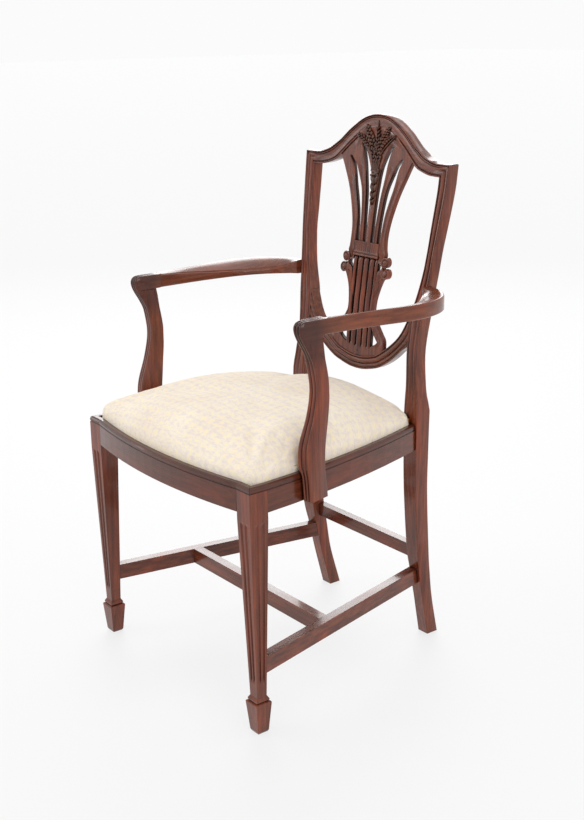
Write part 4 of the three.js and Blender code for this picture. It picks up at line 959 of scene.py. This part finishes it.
def wood(name, axis, seed, light=1.0, contrast=0.8, stain=None, brown=1.0, shades=MAHOGANY):
    """Wood with its grain along one axis, the mahogany polished.

    stain is (axis, from, to, tone) in metres: a dark end.
    """
    m, t, shader = material(name)
    place = node(t, "ShaderNodeTexCoord").outputs["Object"]
    bend = noise(t, place, 4.0, 2.0, output="Color")
    shift = calc(t, "MULTIPLY_ADD", bend, (0.012, 0.012, 0.012), place, kind="ShaderNodeVectorMath")
    grain_place = mapped(t, shift, [seed * s for s in (0.37, 0.71, 0.53)],
                         [0.045 if way == axis else 1 for way in "xyz"])
    figure = noise(t, grain_place, 150.0, 5.0, 0.6)
    pores = noise(t, grain_place, 900.0, 3.0, 0.7)
    blotch_place = mapped(t, place, [seed * s for s in (0.91, 0.23, 0.67)],
                          [0.35 if way == axis else 1 for way in "xyz"])
    blotch = noise(t, blotch_place, 26.0, 3.0, 0.55)
    # Painted shade: an ambient occlusion mask, used further down to darken the colour in creases,
    # grooves and joints.
    crease = node(t, "ShaderNodeAmbientOcclusion", samples=8, Distance=0.007).outputs["AO"]
    spread = [0.5 + (stop - 0.5) / contrast for stop in (0.3, 0.46, 0.6, 0.74)]
    colour = ramp(t, figure, [(stop, srgb(r * light, g * light * brown, b * light * brown))
                              for stop, (r, g, b) in zip(spread, shades)])
    clouds = [(0.34, srgb(106, 106, 114)), (0.54, srgb(132, 126, 122)), (0.72, srgb(168, 134, 106))]
    colour = mixed(t, "OVERLAY", 0.7, colour, ramp(t, blotch, clouds))
    specks = [(0.3, srgb(120, 108, 104)), (0.43, WHITE)]
    colour = mixed(t, "MULTIPLY", 0.55, colour, ramp(t, pores, specks))
    # Painted shade in creases and grooves, multiplied into the colour.
    crease_shade = [(0.3, srgb(50, 38, 36)), (0.78, WHITE)]
    colour = mixed(t, "MULTIPLY", 0.9, colour, ramp(t, crease, crease_shade))
    if stain:
        axis_at, start, end, tone = stain
        split = node(t, "ShaderNodeSeparateXYZ", Vector=place)
        reach = node(t, "ShaderNodeMapRange", Value=split.outputs[axis_at], From_Min=start,
                     From_Max=end).outputs["Result"]
        tint = ramp(t, reach, [(0.0, srgb(*tone)), (0.5, srgb(*tone)), (1.0, WHITE)])
        colour = mixed(t, "MULTIPLY", 1.0, colour, tint)
    fill(shader, Base_Color=colour, Roughness=0.6, Coat_Roughness=0.1, Specular_IOR_Level=0.25)
    if shades is MAHOGANY:
        gloss = node(t, "ShaderNodeMapRange", Value=blotch, From_Min=0.3, From_Max=0.7, To_Min=0.2,
                     To_Max=0.34)
        fill(shader, Roughness=gloss.outputs["Result"], Coat_Weight=0.42)
    fine = bump(t, 0.04, 0.0004, pores)
    fill(shader, Normal=bump(t, 0.1, 0.002, noise(t, grain_place, 38.0, 2.0), Normal=fine))
    return m


CHECK = (0.018, 0.022)
YARN = 0.0011


def weave_material():
    """Cream cloth with a small check of pale gold and mauve grey."""
    m, t, shader = material("check_weave")
    uv = node(t, "ShaderNodeUVMap", uv_map="weave").outputs["UV"]
    split = node(t, "ShaderNodeSeparateXYZ", Vector=uv)
    u, v = split.outputs["X"], split.outputs["Y"]

    def add(a, b):
        return calc(t, "ADD", a, b)

    def times(a, b):
        return calc(t, "MULTIPLY", a, b)

    def wave(place, pitch):
        return calc(t, "SINE", times(place, 2 * pi / pitch))

    shaken = add(u, times(noise(t, uv, 60.0, 2.0), 0.0012))
    check = add(times(wave(v, CHECK[1]), 0.6), times(wave(shaken, CHECK[0]), 0.45))
    fleck = noise(t, mapped(t, uv, (0, 0, 0), (0.6, 1, 1)), 190.0, 3.0, 0.65)
    tones = ramp(t, add(times(check, 0.085), fleck), [
        (0.3, srgb(231, 218, 209)), (0.44, srgb(238, 227, 215)), (0.56, srgb(246, 235, 213)),
        (0.7, srgb(250, 235, 192))])
    faded = ramp(t, noise(t, uv, 9.0, 2.0), [(0.3, srgb(247, 243, 241)), (0.7, WHITE)])
    yarns = times(wave(shaken, YARN), wave(v, YARN))
    height = add(add(times(yarns, 0.5), times(check, 0.6)), times(fleck, 1.2))
    fill(shader, Base_Color=mixed(t, "MULTIPLY", 1.0, tones, faded), Roughness=0.9,
         Specular_IOR_Level=0.25, Sheen_Weight=0.25, Sheen_Roughness=0.5,
         Normal=bump(t, 0.5, 0.0005, height))
    return m


def cloth_material(name, dark, pale, pitch):
    """Plain woven cloth: webbing and the dust cover."""
    m, t, shader = material(name)
    place = node(t, "ShaderNodeTexCoord").outputs["Object"]
    threads = [node(t, "ShaderNodeTexWave", bands_direction=way, Vector=place, Scale=1 / pitch,
                    Distortion=1.2).outputs["Fac"] for way in "XY"]
    both = calc(t, "MULTIPLY", *threads)
    tones = ramp(t, both, [(0.1, dark), (0.7, pale)])
    shade = ramp(t, noise(t, place, 14.0, 4.0), [(0.3, (0.55, 0.5, 0.45)), (0.65, WHITE)])
    fill(shader, Base_Color=mixed(t, "MULTIPLY", 0.5, tones, shade), Roughness=0.92,
         Normal=bump(t, 0.6, 0.0004, both))
    return m


def steel_material():
    m, t, shader = material("screw_steel_worn")
    place = node(t, "ShaderNodeTexCoord").outputs["Object"]
    tones = [(0.35, (0.16, 0.14, 0.12)), (0.65, (0.5, 0.49, 0.47))]
    colour = ramp(t, noise(t, place, 300.0, 4.0), tones)
    fill(shader, Base_Color=colour, Metallic=1.0, Roughness=0.42)
    return m


NOSE_AT = (SHIFT - ARM_REACH) * MM
ARM_STAIN = (1, NOSE_AT + 0.012, NOSE_AT + 0.075, (172, 152, 144))
SUPPORT_STAIN = (2, 0.65, 0.596, (188, 170, 162))
WOOD = {
    "post": wood("mahogany_posts", "z", 1, 1.08),
    "crest": wood("mahogany_crest", "x", 2),
    "rail": wood("mahogany_shield_rail", "x", 3, 1.0, 0.7, None, 1.05),
    "splat": wood("mahogany_splat", "z", 4),
    "arm": wood("mahogany_arms", "y", 5, 1.08, 0.55, ARM_STAIN, 1.06),
    "support": wood("mahogany_supports", "z", 6, 1.06, 0.7, SUPPORT_STAIN),
    "leg": wood("mahogany_legs", "z", 7, 1.05, 0.65),
    "front": wood("mahogany_front_rail", "x", 8, 0.84, 0.55),
    "front_trim": wood("mahogany_front_moulding", "x", 15, 0.76, 0.55),
    "side_trim": wood("mahogany_side_mouldings", "y", 16, 0.8, 0.55),
    "side": wood("mahogany_side_rails", "y", 10, 0.9, 0.55),
    "stretcher": wood("mahogany_stretchers", "y", 11),
    "cross": wood("mahogany_cross_stretchers", "x", 12),
    "carving": wood("mahogany_carving", "z", 13, 0.84, 0.7, None, 1.14),
    # A darker copy of the splat wood for the walls inside the slots: painted shade.
    "shaded_cheek": wood("mahogany_slot_cheeks_painted_shade", "z", 14, 0.6),
}
BEECH = wood("beech_frame", "x", 9, shades=BEECH_TONES)
WEAVE = weave_material()
WEBBING = cloth_material("webbing_jute", srgb(120, 98, 62), srgb(190, 166, 116), 0.012)
DUST = cloth_material("dust_cloth_dark", srgb(36, 32, 30), srgb(78, 72, 68), 0.006)
STEEL = steel_material()


def dress(obj, material, body):
    obj.data.materials.append(material)
    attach(obj, body)
    return obj


def softening_group():
    """Smooth shading with creases kept, as a modifier, so the node's mesh stays as it is."""
    g = bpy.data.node_groups.new("soft_shading", "GeometryNodeTree")
    for way in ("INPUT", "OUTPUT"):
        g.interface.new_socket("Geometry", in_out=way, socket_type="NodeSocketGeometry")
    source = node(g, "NodeGroupInput")
    angle = node(g, "GeometryNodeInputMeshEdgeAngle").outputs["Unsigned Angle"]
    flat_enough = calc(g, "LESS_THAN", angle, radians(32), kind="FunctionNodeCompare")
    faces = node(g, "GeometryNodeSetShadeSmooth", Geometry=source.outputs[0])
    edges = node(g, "GeometryNodeSetShadeSmooth", domain="EDGE", Geometry=faces.outputs["Geometry"],
                 Shade_Smooth=flat_enough)
    feed(node(g, "NodeGroupOutput").inputs[0], edges.outputs["Geometry"])
    return g


SOFT = softening_group()


def finish_node(obj, surface, round_edge):
    for slot_at in obj.material_slots:
        slot_at.material = surface
    if round_edge:
        put(obj.modifiers.new("edges", "BEVEL"), width=round_edge, segments=2, limit_method="ANGLE",
            angle_limit=radians(35))
    obj.modifiers.new("shading", "NODES").node_group = SOFT


# Part of the node's name, material, and how far its edges are rounded, in metres
FINISH = [
    ("front_leg", WOOD["leg"], 0.0005), ("front_moulding", WOOD["front_trim"], 0.0005),
    ("side_moulding", WOOD["side_trim"], 0.0005), ("side_seat_rail", WOOD["side"], 0.0009),
    ("front_seat_rail", WOOD["front"], 0.0009), ("rear_seat_rail", WOOD["front"], 0.0009),
    ("side_stretcher", WOOD["stretcher"], 0.0012), ("cross_stretcher", WOOD["cross"], 0.0012),
    ("rear_stretcher", WOOD["cross"], 0.0012), ("corner_block", BEECH, 0.0008),
    ("_bar", BEECH, 0.0008), ("screw", STEEL, 0), ("strap", WEBBING, 0), ("dust_cover", DUST, 0)]
for name, obj in nodes.items():
    for part, surface, edge in FINISH:
        if part in name:
            finish_node(obj, surface, edge)

for side, word in ((1, "left"), (-1, "right")):
    post = dress(make_post(side), WOOD["post"], "chair_frame")
    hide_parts("rear_leg_" + word)
    support = dress(make_support(side), WOOD["support"], "chair_frame")
    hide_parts("arm_support_" + word)
    arm = dress(make_arm(side), WOOD["arm"], "chair_frame")
    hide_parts("arm_" + word)
crest = dress(make_crest(), WOOD["crest"], "chair_frame")
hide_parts("crest_rail")
shield_rail = dress(make_shield_rail(), WOOD["rail"], "chair_frame")
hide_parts("shield_bottom_rail")
splat = make_splat()
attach(splat, "chair_frame")
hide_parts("splat")
dress(make_carving(), WOOD["carving"], "chair_frame")


# Cushion
MARGIN = 11.6
CUSHION_MIDDLE = -SEAT_DEPTH / 2 - 7
CROWN_FOOT = 445
CROWN_RISE = 50
# How far in from the edge, as a share, and the share of the rise that is reached there
CROWN = [(0, 0), (0.016, 0.34), (0.05, 0.6), (0.115, 0.8), (0.24, 0.92), (0.5, 0.985), (1, 1)]
crown = smooth(CROWN, 1)
INWARD = (0, 0.006, 0.016, 0.03, 0.05, 0.08, 0.115, 0.17, 0.24, 0.33, 0.43, 0.54, 0.66, 0.78, 0.9,
          0.97)
# The inner rings close in on a circle of this radius
INNER_ROUND = 190
CORNER_ROUND = 30


def plan(margin, n=240):
    """The cushion's outline, evenly spaced, from the middle of the front, sitter's left first."""
    notch, rear, notch_half = 11 - margin, 20 - margin, 150 - margin
    radius = CORNER_ROUND - margin
    half = [(x, front_edge(x) + margin) for x in np.linspace(0, LEG_INNER, 16)]
    x, y = FRONT_HALF - CORNER_ROUND, CORNER_ROUND - SEAT_DEPTH
    half += [(x + radius * cos(a), y + radius * sin(a)) for a in np.linspace(-pi / 2, 0, 8)]
    half += [(side_edge(y) - margin, y) for y in np.linspace(LEG_BACK, notch - 6, 24)]
    half += [(side_edge(notch) - margin - 3, notch - 1.5), (notch_half + 4, notch),
             (notch_half + 0.5, notch + 3), (notch_half - 2, rear - 2), (notch_half - 8, rear),
             (0, rear)]
    outline = half + [(-x, y) for x, y in reversed(half[1:-1])]
    points = np.array(outline + [outline[0]])
    run = np.concatenate([[0], np.cumsum(np.hypot(*np.diff(points, axis=0).T))])
    at = np.linspace(0, run[-1], n, endpoint=False)
    return np.stack([np.interp(at, run, points[:, 0]), np.interp(at, run, points[:, 1])], 1)


def cushion_rings(lift):
    base = plan(MARGIN)
    rings = [[(x, y, z) for x, y in plan(MARGIN + 0.6)] for z in (428, 434, 440)]
    for inward in INWARD:
        reach = 1 - inward
        blend = min(1, 2.5 * inward)
        ring = []
        for x, y in base:
            angle = atan2(y - CUSHION_MIDDLE, x)
            near_x = lerp(x, INNER_ROUND * cos(angle), blend)
            near_y = lerp(y, CUSHION_MIDDLE + INNER_ROUND * sin(angle), blend)
            corner = min(1, (x / side_edge(y) * (y - CUSHION_MIDDLE) / (SEAT_DEPTH / 2)) ** 2)
            rise = crown(inward) * (CROWN_RISE + lift) * (1 - 0.42 * reach * corner)
            ring.append((near_x * reach, lerp(CUSHION_MIDDLE, near_y, reach), CROWN_FOOT + rise))
        rings.append(ring)
    return rings


def make_cushion():
    obj = new_object("seat_cushion", *loft_data(cushion_rings(-2)))
    put(obj.modifiers.new("remesh", "REMESH"), mode="VOXEL", voxel_size=0.005)
    put(obj.modifiers.new("smooth", "SMOOTH"), factor=0.5, iterations=3)
    apply_modifiers(obj)
    swell(obj)
    trim_cushion(obj)
    put(obj.modifiers.new("fine", "SUBSURF"), levels=1, render_levels=1)
    apply_modifiers(obj)
    pull_in(obj)
    unroll(obj)
    for p in obj.data.polygons:
        p.use_smooth = True
    return obj


def apply_modifiers(obj):
    bpy.context.view_layer.update()
    graph = bpy.context.evaluated_depsgraph_get()
    mesh = bpy.data.meshes.new_from_object(obj.evaluated_get(graph))
    obj.modifiers.clear()
    old = obj.data
    obj.data = mesh
    bpy.data.meshes.remove(old)


def swell(obj):
    """Blows the cushion up a little, by 6 mm at most, with its lower edge held."""
    start = np.array([v.co for v in obj.data.vertices])
    held = obj.vertex_groups.new(name="held")
    for i, co in enumerate(start):
        weight = fall(0.434, 0.452, co[2])
        if weight > 0:
            held.add([i], weight, "REPLACE")
    cloth = obj.modifiers.new("cloth", "CLOTH")
    put(cloth.settings, quality=6, mass=0.3, tension_stiffness=30, compression_stiffness=30,
        shear_stiffness=10, bending_stiffness=2, use_pressure=True, uniform_pressure_force=4,
        vertex_group_mass="held")
    cloth.settings.effector_weights.gravity = 0
    cloth.collision_settings.use_collision = False
    put(cloth.point_cache, frame_start=1, frame_end=20)
    scene = bpy.context.scene
    for f in range(1, 21):
        scene.frame_set(f)
    graph = bpy.context.evaluated_depsgraph_get()
    end = np.array([v.co for v in obj.evaluated_get(graph).to_mesh().vertices])
    obj.modifiers.clear()
    scene.frame_set(1)
    delta = end - start
    length = np.linalg.norm(delta, axis=1, keepdims=True)
    delta *= np.minimum(1, 0.006 / np.maximum(length, 1e-9))
    delta[:, :2] *= 0.5
    for v, co in zip(obj.data.vertices, start + delta):
        v.co = co
    obj.vertex_groups.clear()


def trim_cushion(obj):
    """Opens the base and turns the cover down round the seat frame, as a skirt with thickness."""
    bm = bmesh.new()
    bm.from_mesh(obj.data)
    low = [f for f in bm.faces if f.calc_center_median().z < 0.4365]
    bmesh.ops.delete(bm, geom=low, context="FACES")
    outer, inner = plan(MARGIN + 0.2, 720), plan(MARGIN + 2.0, 720)
    around = np.unwrap(np.arctan2(outer[:, 1] - CUSHION_MIDDLE, outer[:, 0]))

    def on(outline, co):
        angle = atan2(co.y / MM - SHIFT - CUSHION_MIDDLE, co.x / MM)
        gaps = np.abs((around - angle + pi) % (2 * pi) - pi)
        x, y = outline[int(np.argmin(gaps))]
        return x * MM, (y + SHIFT) * MM

    def extrude(edges, outline, z):
        made = bmesh.ops.extrude_edge_only(bm, edges=edges)["geom"]
        verts = [g for g in made if isinstance(g, bmesh.types.BMVert)]
        for v in verts:
            v.co.x, v.co.y = on(outline, v.co)
            v.co.z = z * MM
        return [g for g in made if isinstance(g, bmesh.types.BMEdge) and g.is_boundary]

    border = [e for e in bm.edges if e.is_boundary]
    for outline, z in ((outer, 431.5), (outer, 424), (inner, 424), (inner, 445.4)):
        border = extrude(border, outline, z)
    bmesh.ops.holes_fill(bm, edges=border, sides=0)
    bmesh.ops.triangulate(bm, faces=[f for f in bm.faces if len(f.verts) > 4])
    bmesh.ops.recalc_face_normals(bm, faces=bm.faces)
    bm.to_mesh(obj.data)
    bm.free()


def pull_in(obj):
    """Small tacking pulls along the edges, a hollow by each arm support, slight unevenness."""
    rng = np.random.default_rng(5)
    waves = [(rng.uniform(9, 26), rng.uniform(9, 26), rng.uniform(0, 6.28), rng.uniform(0.1, 0.35))
             for _ in range(10)]
    for v in obj.data.vertices:
        x, y, z = v.co.x / MM, v.co.y / MM - SHIFT, v.co.z / MM
        if z < 440:
            continue
        side = copysign(1, x)
        lift = sum(a * sin(x / p + y / q + f) for p, q, f, a in waves) * 0.2
        edge = fall(446, 472, z)
        angle = atan2(y - CUSHION_MIDDLE, x)
        pulls = sin(angle * hypot(x, y - CUSHION_MIDDLE) / 4.2) * 0.3 * edge
        hollow = 3.2 * exp(-((abs(x) - 222) / 26) ** 2 - ((y + 300) / 34) ** 2)
        far = hypot(abs(x) - 232, y + 402)
        if far < 34:
            turn = atan2(y + 432, abs(x) - 202)
            pulls += sin(turn * 17) * (1 - far / 34) ** 1.3 * fall(452, 476, z)
        v.co.x -= (hollow * 0.6 * side + pulls * cos(angle)) * MM
        v.co.y -= pulls * sin(angle) * MM
        v.co.z += (lift * (1 - edge) - hollow * 0.5) * MM


def unroll(obj):
    """Weave coordinates: the plan, let out over the edges by the height that the cloth drops."""
    layer = obj.data.uv_layers.new(name="weave")
    co = np.array([v.co for v in obj.data.vertices])
    normals = np.array([v.normal for v in obj.data.vertices])
    flat = np.hypot(normals[:, 0], normals[:, 1])
    drop = np.maximum(0, 0.478 - co[:, 2]) * flat
    out = normals[:, :2] / np.maximum(flat, 1e-6)[:, None]
    uv = co[:, :2] + out * drop[:, None] * 0.8
    for loop in obj.data.loops:
        layer.data[loop.index].uv = uv[loop.vertex_index]


cushion = dress(make_cushion(), WEAVE, "drop_in_seat")
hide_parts("seat_cover", "seat_pad")


# Stage
def plain_floor():
    mesh = bpy.data.meshes.new("floor")
    reach = [(x, y, -0.0005) for x, y in ((-40, -40), (40, -40), (40, 40), (-40, 40))]
    mesh.from_pydata(reach, [], [(0, 1, 2, 3)])
    obj = linked("floor", mesh)
    m, _, shader = material("pale_floor")
    fill(shader, Base_Color=(0.14, 0.14, 0.141, 1), Roughness=0.6, Specular_IOR_Level=0.2,
         Emission_Color=(1, 1, 1, 1), Emission_Strength=0.745)
    mesh.materials.append(m)


plain_floor()
scene = bpy.context.scene
scene.world = world = bpy.data.worlds.new("studio")
world.use_nodes = True
fill(world.node_tree.nodes["Background"], Color=(1, 1, 1, 1), Strength=0.965)

# Area lights: name, place, height aimed at, size, power, and whether it only makes highlights
LIGHTS = [
    ("key", (-1.6, -2.4, 2.3), 0.5, (1.6, 1.6), 18, False),
    ("side", (2.6, -0.6, 2.0), 0.5, (1.4, 1.4), 16, False),
    ("back", (-2.5, 1.9, 2.1), 0.7, (3.0, 1.3), 40, False),
    ("low_sheen", (-2.4, 1.8, 1.5), 0.7, (1.6, 0.5), 6, True),
    ("left_strip", (-2.3, -1.5, 1.4), 0.8, (0.3, 1.5), 4, True),
    ("right_strip", (2.3, 0.4, 1.5), 0.8, (0.25, 1.4), 6, True),
    ("high_sheen", (-0.3, 1.5, 2.9), 0.9, (1.2, 0.6), 5, True),
]
for name, place, aim, (width, height), power, gloss_only in LIGHTS:
    light = put(bpy.data.lights.new(name, "AREA"), shape="RECTANGLE", size=width, size_y=height,
                energy=power)
    lamp = put(linked(name, light), visible_diffuse=not gloss_only, location=place)
    lamp.rotation_euler = (Vector((0, 0, aim)) - Vector(place)).to_track_quat("-Z", "Y").to_euler()

scene.view_settings.view_transform = "Standard"
# The camera as solved from the chair's own lines: angles, then millimetres, then pixels
AZIMUTH, TURN, PITCH, ROLL = [radians(degrees) for degrees in (53.15, -0.53, 16.94, -0.80)]
DISTANCE, EYE_HEIGHT, CENTRE = 2168.75, 1112.08, -165.4
FOCAL_PIXELS, PICTURE_HEIGHT, SENSOR = 1264.45, 820, 36
lens = put(bpy.data.cameras.new("camera"), sensor_width=SENSOR,
           lens=FOCAL_PIXELS * SENSOR / PICTURE_HEIGHT)
camera = scene.camera = linked("camera", lens)
eye = to_frame((DISTANCE * sin(AZIMUTH), CENTRE - DISTANCE * cos(AZIMUTH), EYE_HEIGHT))
facing = AZIMUTH + TURN
right = Vector((cos(facing), sin(facing), 0))
forward = Vector((-sin(facing) * cos(PITCH), cos(facing) * cos(PITCH), -sin(PITCH)))
up = right.cross(forward)
axes = Matrix((cos(ROLL) * right + sin(ROLL) * up, cos(ROLL) * up - sin(ROLL) * right, -forward))
camera.matrix_world = Matrix.Translation(eye) @ axes.transposed().to_4x4()
